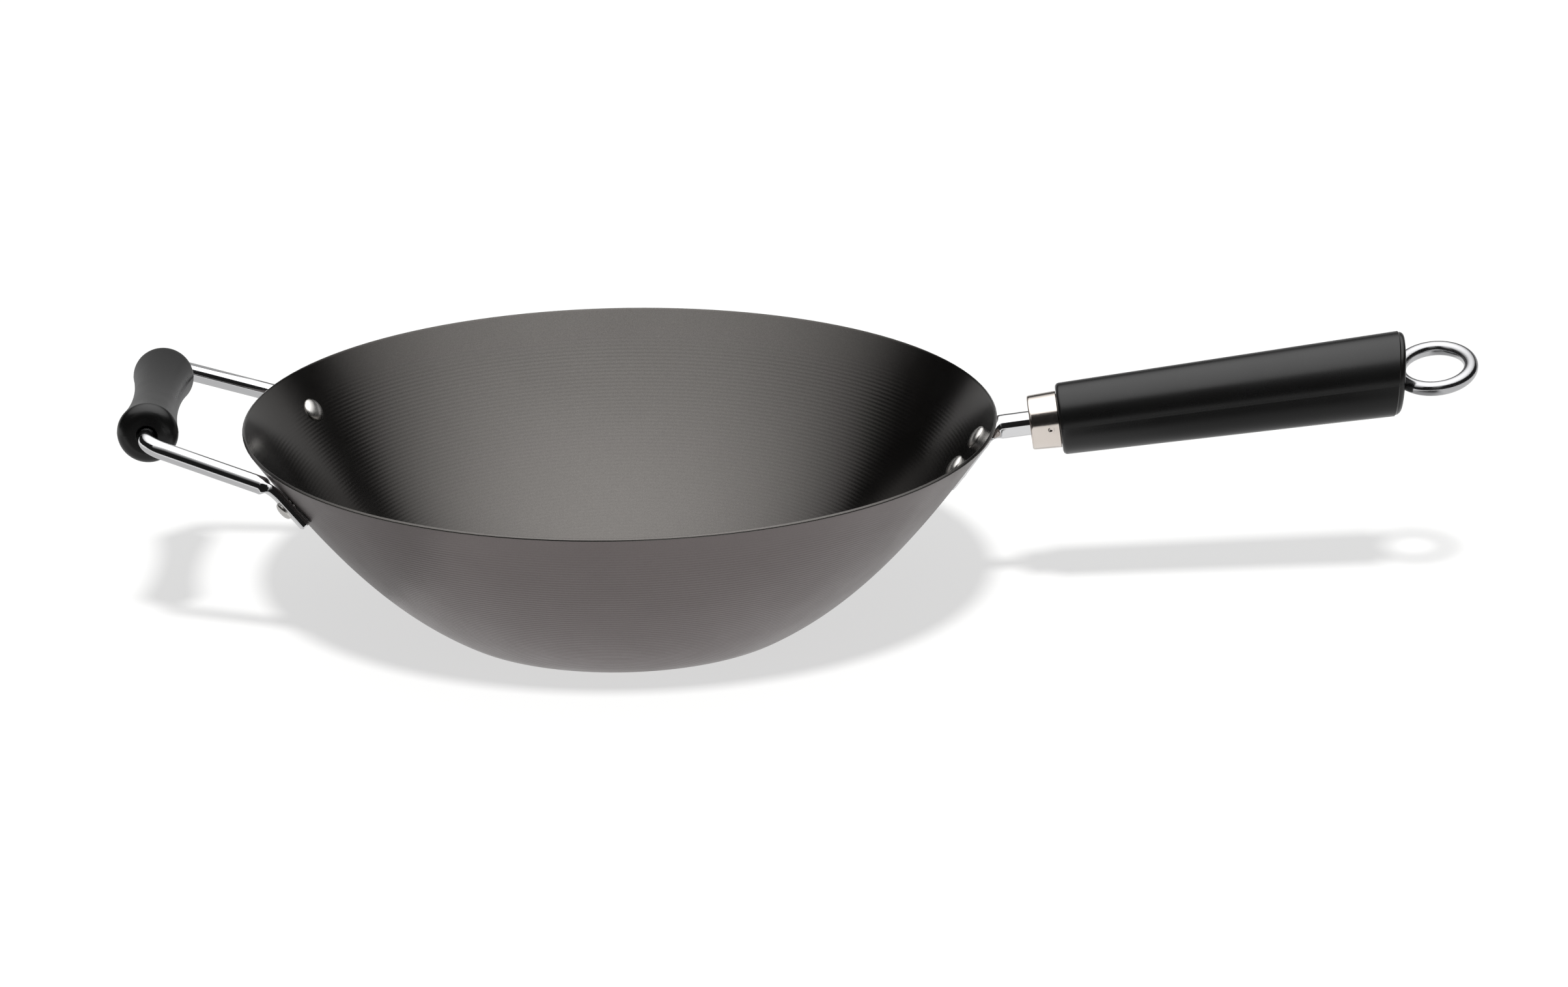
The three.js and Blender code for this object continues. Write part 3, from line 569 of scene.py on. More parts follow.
def neck(finish):
    """The neck: a rod with a collar and a tapped tail, bent down the wall and flattened into a paddle."""
    axis = HANDLE_FRAME[0]
    half = NECK_PADDLE_THICKNESS / 2
    half_width = NECK_PADDLE_WIDTH / 2
    stand_off = (SEAT_GAP + half) / (axis @ HANDLE_ROOT_NORMAL)
    corner = HANDLE_ROOT + axis * stand_off
    down = np.array([HANDLE_ROOT_NORMAL[2], 0, -HANDLE_ROOT_NORMAL[0]])
    paddle_top = HANDLE_DROP + stand_off * (axis @ down) + NECK_BEND
    paddle_end = NECK_RIVET_DROPS[1] + NECK_PADDLE_MARGIN

    def on_wall(drop):
        """Centre line of the paddle and its way down the wall, half a paddle out from it."""
        points, normals = wall_at(drop)
        spread = points + normals * (SEAT_GAP + half)
        zero = np.zeros(len(drop))
        centres = np.stack([spread[:, 0], zero, spread[:, 1]], axis=-1)
        return centres, np.stack([normals[:, 1], zero, -normals[:, 0]], axis=-1)

    collar_front = FERRULE_FRONT + FERRULE_WALL + SEAT_GAP
    collar_back = collar_front + COLLAR_THICKNESS
    bore = TIE_ROD_RADIUS + SEAT_GAP
    tail = np.array([
        [bore, TIE_ROD_END - SEAT_GAP],
        [bore, NECK_TAIL_END - NECK_BORE_CHAMFER],
        [bore + NECK_BORE_CHAMFER, NECK_TAIL_END],
        [NECK_RADIUS - NECK_TAIL_CHAMFER, NECK_TAIL_END],
        [NECK_RADIUS, NECK_TAIL_END - NECK_TAIL_CHAMFER],
        [NECK_RADIUS, collar_back + COLLAR_BACK_FILLET],
        [NECK_RADIUS + COLLAR_BACK_FILLET, collar_back],
        [COLLAR_RADIUS, collar_back],
        [COLLAR_RADIUS, collar_front],
        [NECK_RADIUS + COLLAR_FRONT_FILLET, collar_front],
        [NECK_RADIUS, collar_front - COLLAR_FRONT_FILLET],
        *[[NECK_RADIUS, along] for along in NECK_ROD_RINGS],
    ])
    tail_centres = HANDLE_ROOT + tail[:, 1:] * axis
    top_centre, _ = on_wall(np.array([paddle_top]))
    bend_centres, bend_ways = bend_curve(corner + axis * NECK_BEND, corner, top_centre[0], BEND_ROWS)
    paddle_drop = np.linspace(paddle_top, paddle_end - NECK_TIP, NECK_PADDLE_ROWS)[1:]
    paddle_centres, paddle_ways = on_wall(paddle_drop)
    end_centres, end_widths, end_thick, end_point = rounded_end(
        paddle_centres[-1], paddle_ways[-1], NECK_TIP, half_width, half, NECK_TIP_FULLNESS
    )
    centres = np.vstack([tail_centres, bend_centres, paddle_centres, end_centres])
    tail_ways = np.tile(-axis, (len(tail), 1))
    end_ways = np.tile(paddle_ways[-1], (len(end_widths), 1))
    ways = np.vstack([tail_ways, bend_ways, paddle_ways, end_ways])
    share = ease(np.linspace(0, 1, BEND_ROWS), 0, NECK_FLAT_BY)
    flat = np.concatenate([np.zeros(len(tail)), share, np.ones(len(paddle_drop) + len(end_widths))])
    widths, thick = flattened(NECK_RADIUS, half_width, half, flat, end_widths, end_thick)
    widths[: len(tail)] = tail[:, 0]
    thick[: len(tail)] = tail[:, 0]
    square = 2 + (NECK_SQUARENESS - 2) * flat
    rings = rod(centres, ways, np.cross(TO_BACK, ways), widths, thick, square)
    shell = skin(rings, start=[tail_centres[0]], end=[end_point])
    put("neck", [shell], [finish], "handle_neck", "wok")


def rivet(name, node, azimuth, drop, paddle_thickness, tail_height, finish):
    """A rivet turned about the wall's normal: a domed head inside, a shank, and a lower upset head outside.

    A dome is r = R sin a, h = H cos a. In the outer one sine and cosine are raised to powers below 1, which
    makes it squarer, with a flatter top.
    """
    point, normal = wall_place(azimuth, drop)
    turn = np.radians(np.linspace(DOME_FIRST_RING, 90, DOME_ROWS))
    head_seat = -SHEET
    tail_seat = SEAT_GAP + paddle_thickness
    head_place = head_seat - RIVET_HEAD_HEIGHT * np.cos(turn)
    head = np.stack([RIVET_HEAD_RADIUS * np.sin(turn), head_place], axis=-1)
    shank = np.array([
        [RIVET_HEAD_RADIUS, head_seat + RIVET_BITE],
        [RIVET_RADIUS, head_seat + RIVET_BITE],
        [RIVET_RADIUS, tail_seat - RIVET_BITE],
        [RIVET_TAIL_RADIUS, tail_seat - RIVET_BITE],
    ])
    back = turn[::-1]
    side_power, top_power = RIVET_TAIL_POWERS
    tail_place = tail_seat + tail_height * np.cos(back) ** top_power
    tail = np.stack([RIVET_TAIL_RADIUS * np.sin(back) ** side_power, tail_place], axis=-1)
    profile = np.vstack([head, shank, tail])
    down = unit(np.cross(normal, np.array([-math.sin(azimuth), math.cos(azimuth), 0.0])))
    across = np.cross(normal, down)
    angle = around(RIVET_COLUMNS)[:, None]
    spokes = np.cos(angle) * down + np.sin(angle) * across
    rings = point + profile[:, None, :1] * spokes + profile[:, None, 1:] * normal
    head_tip = point + normal * (head_seat - RIVET_HEAD_HEIGHT)
    tail_tip = point + normal * (tail_seat + tail_height)
    put(name, [skin(rings, start=[head_tip], end=[tail_tip])], [finish], node, "wok")


def ferrule(finish):
    """The drawn cup, turned about the handle. Its stake is a bell-shaped pit in a low raised ring."""
    hole = NECK_RADIUS + FERRULE_HOLE_GAP
    flank_front = FERRULE_FRONT + FERRULE_EDGE
    front_edge = quarter(flank_front, FERRULE_FRONT_RADIUS - FERRULE_EDGE, FERRULE_EDGE, -90, 0)
    flank_along = np.linspace(flank_front, FERRULE_BACK - FERRULE_LIP[1], FERRULE_ROWS)[1:]
    slope = (flank_along - FERRULE_FRONT) / FERRULE_LENGTH
    flank_radius = FERRULE_FRONT_RADIUS + (FERRULE_BACK_RADIUS - FERRULE_FRONT_RADIUS) * slope
    flank = np.stack([flank_radius, flank_along], axis=-1)
    inside = np.array([
        [FERRULE_BACK_RADIUS - FERRULE_LIP[0], FERRULE_BACK],
        [FERRULE_BACK_RADIUS - FERRULE_WALL, FERRULE_BACK],
        [FERRULE_FRONT_RADIUS - FERRULE_WALL, FERRULE_FRONT + FERRULE_WALL],
        [hole, FERRULE_FRONT + FERRULE_WALL],
        [hole, FERRULE_FRONT + FERRULE_HOLE_CHAMFER],
        [hole + FERRULE_HOLE_CHAMFER, FERRULE_FRONT],
    ])
    profile = np.vstack([front_edge, flank, inside])
    angle = around(FERRULE_COLUMNS)
    radius, along = by_angle(profile, angle)
    outside = np.arange(len(profile)) < len(front_edge) + len(flank)
    from_stake = np.hypot(along - (FERRULE_BACK - STAKE_SETBACK), (angle - STAKE_TURN) * FERRULE_BACK_RADIUS)
    pit = STAKE_DEPTH * np.exp(-((from_stake / STAKE_RADIUS) ** 2))
    from_ring = (from_stake - STAKE_RING_RADIUS * STAKE_RADIUS) / (STAKE_RING_WIDTH * STAKE_RADIUS)
    ring = STAKE_RING_HEIGHT * STAKE_DEPTH * np.exp(-(from_ring**2))
    radius = radius - np.where(outside[:, None], pit - ring, 0)
    shell = skin(in_handle(turned(radius, along, angle)), closed=True)
    put("ferrule_cup", [shell], [finish], "ferrule", "wok")


def grip(finish):
    """The moulded grip: a section turned about the handle, leaned at its back end, with a dish for the loop.

    The lean moves a point along the handle by its height times the slant's tangent, eased in over the last
    stretch. The dish is a sphere about the loop's centre; its mouth is where that sphere meets the leaned
    end, found for each angle by halving.
    """
    angle = seamed_angles(GRIP_COLUMNS)
    lip_end = GRIP_END - GRIP_BACK_EDGE
    edge_radius = GRIP_BACK_RADIUS - GRIP_LIP - GRIP_BACK_EDGE
    slant = math.tan(GRIP_END_SLANT)
    spigot_front = FERRULE_FRONT + FERRULE_WALL + COLLAR_THICKNESS + 2 * SEAT_GAP
    spigot = FERRULE_FRONT_RADIUS - FERRULE_WALL - SPIGOT_GAP
    body_front = GRIP_SHOULDER + GRIP_FRONT_EDGE
    body_along = np.linspace(body_front, lip_end - GRIP_LIP, GRIP_ROWS)
    body_radius = np.interp(body_along, [body_front, lip_end], [GRIP_FRONT_RADIUS, GRIP_BACK_RADIUS])
    front = np.array([
        [spigot - SPIGOT_CHAMFER, spigot_front],
        [spigot, spigot_front + SPIGOT_CHAMFER],
        [spigot, GRIP_SHOULDER],
    ])
    front_centre = GRIP_FRONT_RADIUS - GRIP_FRONT_EDGE
    front_edge = quarter(body_front, front_centre, GRIP_FRONT_EDGE, -90, 0, GRIP_FRONT_EDGE_ROWS)
    body = np.stack([body_radius, body_along], axis=-1)[1:]
    back_edge = quarter(lip_end, edge_radius, GRIP_BACK_EDGE, 0, 90, GRIP_BACK_EDGE_ROWS)
    outer = np.vstack([front, front_edge, body, back_edge])
    radius, along = by_angle(outer, angle)
    moulded = (np.arange(len(outer)) >= len(front))[:, None]
    radius = radius + np.where(moulded, parting_flash(angle, GRIP_BACK_RADIUS), 0)
    along = along + ease(along, lip_end - GRIP_SLANT_LENGTH, lip_end) * radius * np.cos(angle) * slant

    dish = LOOP_RADIUS + LOOP_WIRE_RADIUS + LOOP_CLEARANCE

    def end_face(r):
        """The leaned end: a low cone, leaning with height."""
        return GRIP_END + GRIP_CROWN * (1 - r / edge_radius) + r * np.cos(angle) * slant

    def dish_face(r):
        """The sphere about the loop's centre."""
        return LOOP_CENTRE - np.sqrt(dish**2 - r**2)

    mouth = np.zeros(len(angle))
    high = np.full(len(angle), edge_radius)
    for _ in range(DISH_HALVINGS):
        middle_radius = (mouth + high) / 2
        within = end_face(middle_radius) > dish_face(middle_radius)
        mouth = np.where(within, middle_radius, mouth)
        high = np.where(within, high, middle_radius)
    pocket = WASHER_RADIUS + LOOP_CLEARANCE
    face_radius = edge_radius + (mouth - edge_radius) * np.linspace(0, 1, GRIP_FACE_ROWS)[1:, None]
    dish_radius = mouth + (pocket - mouth) * np.linspace(0, 1, DISH_ROWS)[1:, None]
    seat = WASHER_FRONT - SEAT_GAP
    neck_bore = NECK_RADIUS + SEAT_GAP
    rod_bore = TIE_ROD_RADIUS + SEAT_GAP
    step = NECK_TAIL_END + SEAT_GAP
    bore = np.array([
        [pocket, seat], [rod_bore, seat], [rod_bore, step], [neck_bore, step], [neck_bore, spigot_front],
    ])
    bore_radius, bore_along = by_angle(bore, angle)
    radius = np.vstack([radius, face_radius, dish_radius, bore_radius])
    along = np.vstack([along, end_face(face_radius), dish_face(dish_radius), bore_along])
    shell = skin(in_handle(turned(radius, along, angle)), closed=True)
    put("long_grip", [shell], [finish], "handle_grip", "wok")


def washer(finish):
    """The loop's flat washer: a chamfered rectangle turned about the handle."""
    hole = TIE_ROD_RADIUS + SEAT_GAP
    back = WASHER_FRONT + WASHER_THICKNESS
    cut = WASHER_CHAMFER
    profile = np.array([
        [hole, WASHER_FRONT], [WASHER_RADIUS - cut, WASHER_FRONT], [WASHER_RADIUS, WASHER_FRONT + cut],
        [WASHER_RADIUS, back - cut], [WASHER_RADIUS - cut, back], [hole + cut, back], [hole, back - cut],
    ])
    shell = skin(in_handle(turned(profile[:, :1], profile[:, 1:], around(WASHER_COLUMNS))), closed=True)
    put("washer", [shell], [finish], "loop_washer", "wok")


def hanging_loop(finish):
    """The ring, a wire turned about the loop's centre and rolled about the handle, and its tie rod.

    The rod's thread lowers its radius by a raised cosine of distance over pitch less the share of a turn.
    """
    ring_angle = around(RING_ROWS)[:, None]
    wire_angle = around(WIRE_COLUMNS)
    reach = LOOP_RADIUS + LOOP_WIRE_RADIUS * np.cos(wire_angle)
    lift = LOOP_WIRE_RADIUS * np.sin(wire_angle)
    places = [reach * np.cos(ring_angle), reach * np.sin(ring_angle), lift]
    ring = np.stack(np.broadcast_arrays(*places), axis=-1)
    roll = np.array([
        [1, 0, 0],
        [0, math.cos(LOOP_ROLL), math.sin(LOOP_ROLL)],
        [0, -math.sin(LOOP_ROLL), math.cos(LOOP_ROLL)],
    ])
    ring = ring @ roll + [LOOP_CENTRE, 0, 0]
    turn = around(STEM_COLUMNS)
    thread_start = TIE_ROD_END + THREAD_START
    thread_end = NECK_TAIL_END - THREAD_MARGIN
    thread_along = np.arange(thread_start, thread_end, THREAD_PITCH / THREAD_STEPS)[:, None]
    wave = 0.5 - 0.5 * np.cos(2 * math.pi * thread_along / THREAD_PITCH - turn)
    runout = ease(thread_along, NECK_TAIL_END - THREAD_RUNOUT, thread_end)
    thread_radius = TIE_ROD_RADIUS - THREAD_DEPTH * wave * (1 - runout)
    plain = np.array([
        [TIE_ROD_RADIUS, NECK_TAIL_END],
        *[[TIE_ROD_RADIUS + swell, LOOP_SEAT + behind] for swell, behind in LOOP_SHOULDER],
    ])
    tip = np.array([[TIE_ROD_RADIUS - THREAD_DEPTH - TIE_ROD_POINT, TIE_ROD_END]])
    tip_radius, tip_along = by_angle(tip, turn)
    plain_radius, plain_along = by_angle(plain, turn)
    radius = np.vstack([tip_radius, thread_radius, plain_radius])
    along = np.vstack([tip_along, np.tile(thread_along, (1, STEM_COLUMNS)), plain_along])
    stem = in_handle(turned(radius, along, turn))
    ends = in_handle(np.array([[TIE_ROD_END, 0.0, 0.0], [plain[-1, 1], 0.0, 0.0]]))
    shells = [skin(in_handle(ring), closed=True), skin(stem, start=[ends[0]], end=[ends[1]])]
    put("loop_ring", shells, [finish], "hanging_loop", "loop")


# The helper handle: its grip's axis, and the rivets' azimuths, front first.
SPOOL_AXIS = np.array([-(RIM_RADIUS + HELPER_REACH), 0, BOWL_DEPTH + HELPER_LIFT])
HELPER_AZIMUTHS = [math.pi + HELPER_RIVET_ANGLE, math.pi - HELPER_RIVET_ANGLE]


def bail(finish):
    """The helper's rod: from its middle round a corner, along an arm, then cranked and flat on the wall.

    The arm and the paddle lie in one upright plane; the other half mirrors this one in y.
    """
    point, normal = wall_place(HELPER_AZIMUTHS[1], HELPER_RIVET_DROP)
    half = HELPER_PADDLE_THICKNESS / 2
    half_width = HELPER_PADDLE_WIDTH / 2
    rivet_centre = point + normal * (SEAT_GAP + half)
    corner = SPOOL_AXIS + [0, HELPER_HALF_SPAN, 0]
    level = unit((rivet_centre - corner) * [1, 1, 0])
    paddle_way = unit(level - [0, 0, (level @ normal) / normal[2]])
    paddle_corner = rivet_centre - paddle_way * HELPER_PADDLE_ABOVE
    arm_way = unit(paddle_corner - corner)
    over_arm = unit(np.cross(arm_way, TO_BACK))
    turn_start = corner - TO_BACK * HELPER_BEND
    turn_end = corner + arm_way * HELPER_BEND
    turn_centres, turn_ways = bend_curve(turn_start, corner, turn_end, HELPER_CORNER_ROWS)
    crank_start = paddle_corner - arm_way * HELPER_PADDLE_BEND
    crank_end = paddle_corner + paddle_way * HELPER_PADDLE_BEND
    crank_centres, crank_ways = bend_curve(crank_start, paddle_corner, crank_end, BEND_ROWS)
    paddle_end = rivet_centre + paddle_way * (HELPER_PADDLE_BELOW - HELPER_TIP)
    end_centres, end_widths, end_thick, end_point = rounded_end(
        paddle_end, paddle_way, HELPER_TIP, half_width, half, HELPER_TIP_FULLNESS
    )
    centres = np.vstack([SPOOL_AXIS, turn_centres, crank_centres, paddle_end, end_centres])
    ways = np.vstack([TO_BACK, turn_ways, crank_ways, np.tile(paddle_way, (len(end_widths) + 1, 1))])
    share = ease(np.linspace(0, 1, BEND_ROWS), 0, HELPER_FLAT_BY)
    flat = np.concatenate([np.zeros(1 + HELPER_CORNER_ROWS), share, np.ones(len(end_widths) + 1)])
    sides = over_arm + flat[:, None] * (-normal - over_arm)
    widths, thick = flattened(HELPER_ROD_RADIUS, half_width, half, flat, end_widths, end_thick)
    square = 2 + (HELPER_SQUARENESS - 2) * flat
    rings = rod(centres, ways, sides, widths, thick, square)
    mirror = np.array([1, -1, 1])
    other = rod(centres * mirror, -ways * mirror, sides * mirror, widths, thick, square)
    whole = np.vstack([other[:0:-1], rings])
    shell = skin(whole, start=[end_point * mirror], end=[end_point])
    put("bail", [shell], [finish], "helper_bail", "wok")


def spool(finish):
    """The helper's grip: an hourglass about y. Its radius is waist + (end - waist) (y / edge) squared."""
    bore = HELPER_ROD_RADIUS + SPOOL_CLEARANCE
    edge = SPOOL_HALF_LENGTH - SPOOL_END_EDGE
    flank_along = np.linspace(-edge, edge, SPOOL_ROWS)[1:-1]
    swell = (flank_along / edge) ** 2
    flank_radius = SPOOL_WAIST_RADIUS + (SPOOL_END_RADIUS - SPOOL_WAIST_RADIUS) * swell
    flank = np.stack([flank_radius, flank_along], axis=-1)
    end_radius = SPOOL_END_RADIUS - SPOOL_END_EDGE
    low_mouth = np.array([[bore, SPOOL_MOUTH - SPOOL_HALF_LENGTH], [bore + SPOOL_MOUTH, -SPOOL_HALF_LENGTH]])
    high_mouth = low_mouth[::-1] * [1, -1]
    low_edge = quarter(-edge, end_radius, SPOOL_END_EDGE, -90, 0, SPOOL_EDGE_ROWS)
    high_edge = quarter(edge, end_radius, SPOOL_END_EDGE, 0, 90, SPOOL_EDGE_ROWS)
    profile = np.vstack([low_mouth, low_edge, flank, high_edge, high_mouth])
    angle = seamed_angles(SPOOL_COLUMNS)
    row = np.arange(len(profile))
    moulded = ((row >= len(low_mouth)) & (row < len(profile) - len(high_mouth)))[:, None]
    flash = parting_flash(angle, SPOOL_END_RADIUS) - PARTING_HEIGHT
    radius = profile[:, :1] + np.where(moulded, flash, 0)
    rings = turned(radius, profile[:, 1:], angle)
    rings = SPOOL_AXIS + np.stack([-rings[..., 1], rings[..., 0], rings[..., 2]], axis=-1)
    put("helper_spool", [skin(rings, closed=True)], [finish], "helper_grip", "helper_spool")


def add_node(nodes, kind, values=None, **settings):
    """A new shader node with its settings, then values on its sockets, by name or number."""
    node = nodes.new(kind)
    for setting, value in settings.items():
        setattr(node, setting, value)
    for socket, value in (values or {}).items():
        node.inputs[socket].default_value = value
    return node


def new_group(name, inputs, outputs):
    """An empty shader group with values as outputs.

    Its inputs are names with their default values, or with None for a place.
    """
    group = bpy.data.node_groups.new(name, "ShaderNodeTree")
    for socket_name, value in inputs.items():
        kind = "NodeSocketVector" if value is None else "NodeSocketFloat"
        socket = group.interface.new_socket(socket_name, in_out="INPUT", socket_type=kind)
        if value is not None:
            socket.default_value = value
    for socket_name in outputs:
        group.interface.new_socket(socket_name, in_out="OUTPUT", socket_type="NodeSocketFloat")
    return group, group.nodes.new("NodeGroupInput"), group.nodes.new("NodeGroupOutput")


def fleck_group():
    """Fine flecks: noise, cut to a mask between two levels."""
    inputs = {"Vector": None, "Scale": 2000.0, "Low": 0.45, "High": 0.7}
    group, inside, outside = new_group("fine_fleck", inputs, ["Mask"])
    noise = add_node(group.nodes, "ShaderNodeTexNoise", {"Detail": 2.0, "Roughness": 0.6})
    levels = group.nodes.new("ShaderNodeMapRange")
    link = group.links.new
    link(inside.outputs["Vector"], noise.inputs["Vector"])
    link(inside.outputs["Scale"], noise.inputs["Scale"])
    link(noise.outputs["Fac"], levels.inputs["Value"])
    link(inside.outputs["Low"], levels.inputs["From Min"])
    link(inside.outputs["High"], levels.inputs["From Max"])
    link(levels.outputs["Result"], outside.inputs["Mask"])
    return group


def lines_group():
    """Tool lines: noise along one distance only, so that it makes fine rings or lines."""
    group, inside, outside = new_group("tool_lines", {"Distance": 0.0, "Per Metre": 3000.0}, ["Height"])
    scaled = add_node(group.nodes, "ShaderNodeMath", operation="MULTIPLY")
    noise = add_node(
        group.nodes, "ShaderNodeTexNoise", {"Scale": 1.0, "Detail": 3.0}, noise_dimensions="1D"
    )
    link = group.links.new
    link(inside.outputs["Distance"], scaled.inputs[0])
    link(inside.outputs["Per Metre"], scaled.inputs[1])
    link(scaled.outputs["Value"], noise.inputs["W"])
    link(noise.outputs["Fac"], outside.inputs["Height"])
    return group


def grain_group():
    """Surface grain: a fine noise for height, and a broad one for slow change of shade and gloss."""
    inputs = {"Vector": None, "Fine": 1800.0, "Broad": 60.0}
    group, inside, outside = new_group("surface_grain", inputs, ["Height", "Mottle"])
    fine = add_node(group.nodes, "ShaderNodeTexNoise", {"Detail": 3.0})
    broad = add_node(group.nodes, "ShaderNodeTexNoise", {"Detail": 4.0, "Roughness": 0.6})
    link = group.links.new
    for noise, scale, output in ((fine, "Fine", "Height"), (broad, "Broad", "Mottle")):
        link(inside.outputs["Vector"], noise.inputs["Vector"])
        link(inside.outputs[scale], noise.inputs["Scale"])
        link(noise.outputs["Fac"], outside.inputs[output])
    return group


class Finish:
    """A material under way: its nodes, its shader, and short ways to add and link."""

    def __init__(self, name):
        self.material = bpy.data.materials.new(name)
        self.material.use_nodes = True
        self.nodes = self.material.node_tree.nodes
        self.link = self.material.node_tree.links.new
        self.shader = self.nodes["Principled BSDF"]
        self.place = self.nodes.new("ShaderNodeTexCoord").outputs["Object"]

    def set(self, **values):
        """Plain values on the shader's own sockets; a socket's spaces are underscores here."""
        for socket, value in values.items():
            self.shader.inputs[socket.replace("_", " ")].default_value = value

    def group(self, tree, **values):
        """A shared group with its own values; the object's place feeds its Vector."""
        named = {socket.replace("_", " "): value for socket, value in values.items()}
        node = add_node(self.nodes, "ShaderNodeGroup", named, node_tree=tree)
        if "Vector" in node.inputs:
            self.link(self.place, node.inputs["Vector"])
        return node

    def look(self, shade, gloss, values):
        """Base colour between two colours by one mask, and roughness between two values by another."""
        dark, light, smooth, rough = values
        mix = add_node(self.nodes, "ShaderNodeMix", {"A": (*dark, 1), "B": (*light, 1)}, data_type="RGBA")
        self.link(shade, mix.inputs["Factor"])
        self.link(mix.outputs["Result"], self.shader.inputs["Base Color"])
        low, high = GLOSS_RANGE
        ends = {"From Min": low, "From Max": high, "To Min": smooth, "To Max": rough}
        levels = add_node(self.nodes, "ShaderNodeMapRange", ends)
        self.link(gloss, levels.inputs["Value"])
        self.link(levels.outputs["Result"], self.shader.inputs["Roughness"])

    def paint_shade(self, mask, share):
        """Paints shade: multiplies the base colour by a share where a mask is 1."""
        base = self.shader.inputs["Base Color"]
        grey = {"B": (share, share, share, 1)}
        mix = add_node(self.nodes, "ShaderNodeMix", grey, data_type="RGBA", blend_type="MULTIPLY")
        self.link(mask, mix.inputs["Factor"])
        self.link(base.links[0].from_socket, mix.inputs["A"])
        self.link(mix.outputs["Result"], base)

    def bump(self, height, strength, distance):
        """Relief on the shader's normal. A second call adds to the first."""
        bump = add_node(self.nodes, "ShaderNodeBump", {"Strength": strength, "Distance": distance})
        self.link(height, bump.inputs["Height"])
        normal = self.shader.inputs["Normal"]
        if normal.links:
            self.link(normal.links[0].from_socket, bump.inputs["Normal"])
        self.link(bump.outputs["Normal"], normal)

    def axis_distance(self):
        """Distance from the bowl's axis plus height, which grows along the wall and not round it."""
        parts = self.nodes.new("ShaderNodeSeparateXYZ")
        flat = add_node(self.nodes, "ShaderNodeVectorMath", {1: (1, 1, 0)}, operation="MULTIPLY")
        length = add_node(self.nodes, "ShaderNodeVectorMath", operation="LENGTH")
        total = self.nodes.new("ShaderNodeMath")
        self.link(self.place, parts.inputs["Vector"])
        self.link(self.place, flat.inputs[0])
        self.link(flat.outputs["Vector"], length.inputs[0])
        self.link(length.outputs["Value"], total.inputs[0])
        self.link(parts.outputs["Z"], total.inputs[1])
        return total.outputs["Value"]

    def handle_distance(self):
        """Distance along the long handle."""
        axis = {1: tuple(HANDLE_FRAME[0])}
        along = add_node(self.nodes, "ShaderNodeVectorMath", axis, operation="DOT_PRODUCT")
        self.link(self.place, along.inputs[0])
        return along.outputs["Value"]


def coat(name, fleck, lines, grain, values, metallic):
    """The non-stick coat: dark metallic grey with fine flecks and an orange peel, with painted shade in the
    grooves.
    """
    finish = Finish(name)
    finish.set(Metallic=metallic)
    flecks = finish.group(fleck, Scale=2600.0, Low=0.35, High=0.72)
    groove = add_node(finish.nodes, "ShaderNodeAttribute", attribute_name="groove")
    peel = finish.group(grain, Fine=900.0, Broad=28.0)
    rings = finish.group(lines, Per_Metre=2600.0)
    finish.link(finish.axis_distance(), rings.inputs["Distance"])
    finish.look(flecks.outputs["Mask"], peel.outputs["Mottle"], values)
    # Painted shade at the bottom of each groove
    finish.paint_shade(groove.outputs["Fac"], GROOVE_PAINTED_SHADE)
    finish.bump(peel.outputs["Height"], strength=0.04, distance=0.0002)
    finish.bump(rings.outputs["Height"], strength=0.03, distance=0.0002)
    return finish.material


def metal(name, grain, values, fine, broad, relief=None):
    """Polished or plated metal: a slow change of shade and gloss, and a fine relief where one is given."""
    finish = Finish(name)
    finish.set(Metallic=1.0)
    haze = finish.group(grain, Fine=fine, Broad=broad)
    finish.look(haze.outputs["Mottle"], haze.outputs["Mottle"], values)
    if relief is not None:
        finish.bump(haze.outputs["Height"], *relief)
    return finish.material


def nickel(lines, grain):
    """Satin nickel, warm, with fine lines round the ferrule from its drawing and polishing."""
    finish = Finish("satin_nickel")
    finish.set(Metallic=1.0)
    haze = finish.group(grain, Fine=900.0, Broad=120.0)
    rings = finish.group(lines, Per_Metre=9000.0)
    finish.link(finish.handle_distance(), rings.inputs["Distance"])
    finish.look(haze.outputs["Mottle"], rings.outputs["Height"], SATIN_NICKEL)
    finish.bump(rings.outputs["Height"], strength=0.035, distance=0.00006)
    return finish.material


def phenolic(grain, fleck):
    """Moulded black phenolic: satin, with a fine grain, pale specks and a slow mottle of gloss."""
    finish = Finish("black_phenolic")
    finish.set(Specular_IOR_Level=0.45)
    cloud = finish.group(grain, Fine=2600.0, Broad=45.0)
    dust = finish.group(fleck, Scale=3200.0, Low=0.40, High=0.75)
    finish.look(dust.outputs["Mask"], cloud.outputs["Mottle"], BLACK_PHENOLIC)
    finish.bump(cloud.outputs["Height"], strength=0.05, distance=0.00008)
    return finish.material


def level_by_ray(nodes, link, seen, mirrored, other):
    """One level for the camera's rays, one for those mirrored or passed on, and one for light.

    Each kind of ray is 1 or 0, so the level is other + camera (seen - other) + mirrored (mirrored - other).
    """
    path = nodes.new("ShaderNodeLightPath")
    passed_on = add_node(nodes, "ShaderNodeMath", operation="MAXIMUM")
    link(path.outputs["Is Glossy Ray"], passed_on.inputs[0])
    link(path.outputs["Is Transmission Ray"], passed_on.inputs[1])
    total = None
    for ray, level in ((path.outputs["Is Camera Ray"], seen), (passed_on.outputs["Value"], mirrored)):
        step = add_node(nodes, "ShaderNodeMath", {1: level - other, 2: other}, operation="MULTIPLY_ADD")
        link(ray, step.inputs[0])
        if total is not None:
            link(total, step.inputs[2])
        total = step.outputs["Value"]
    return total


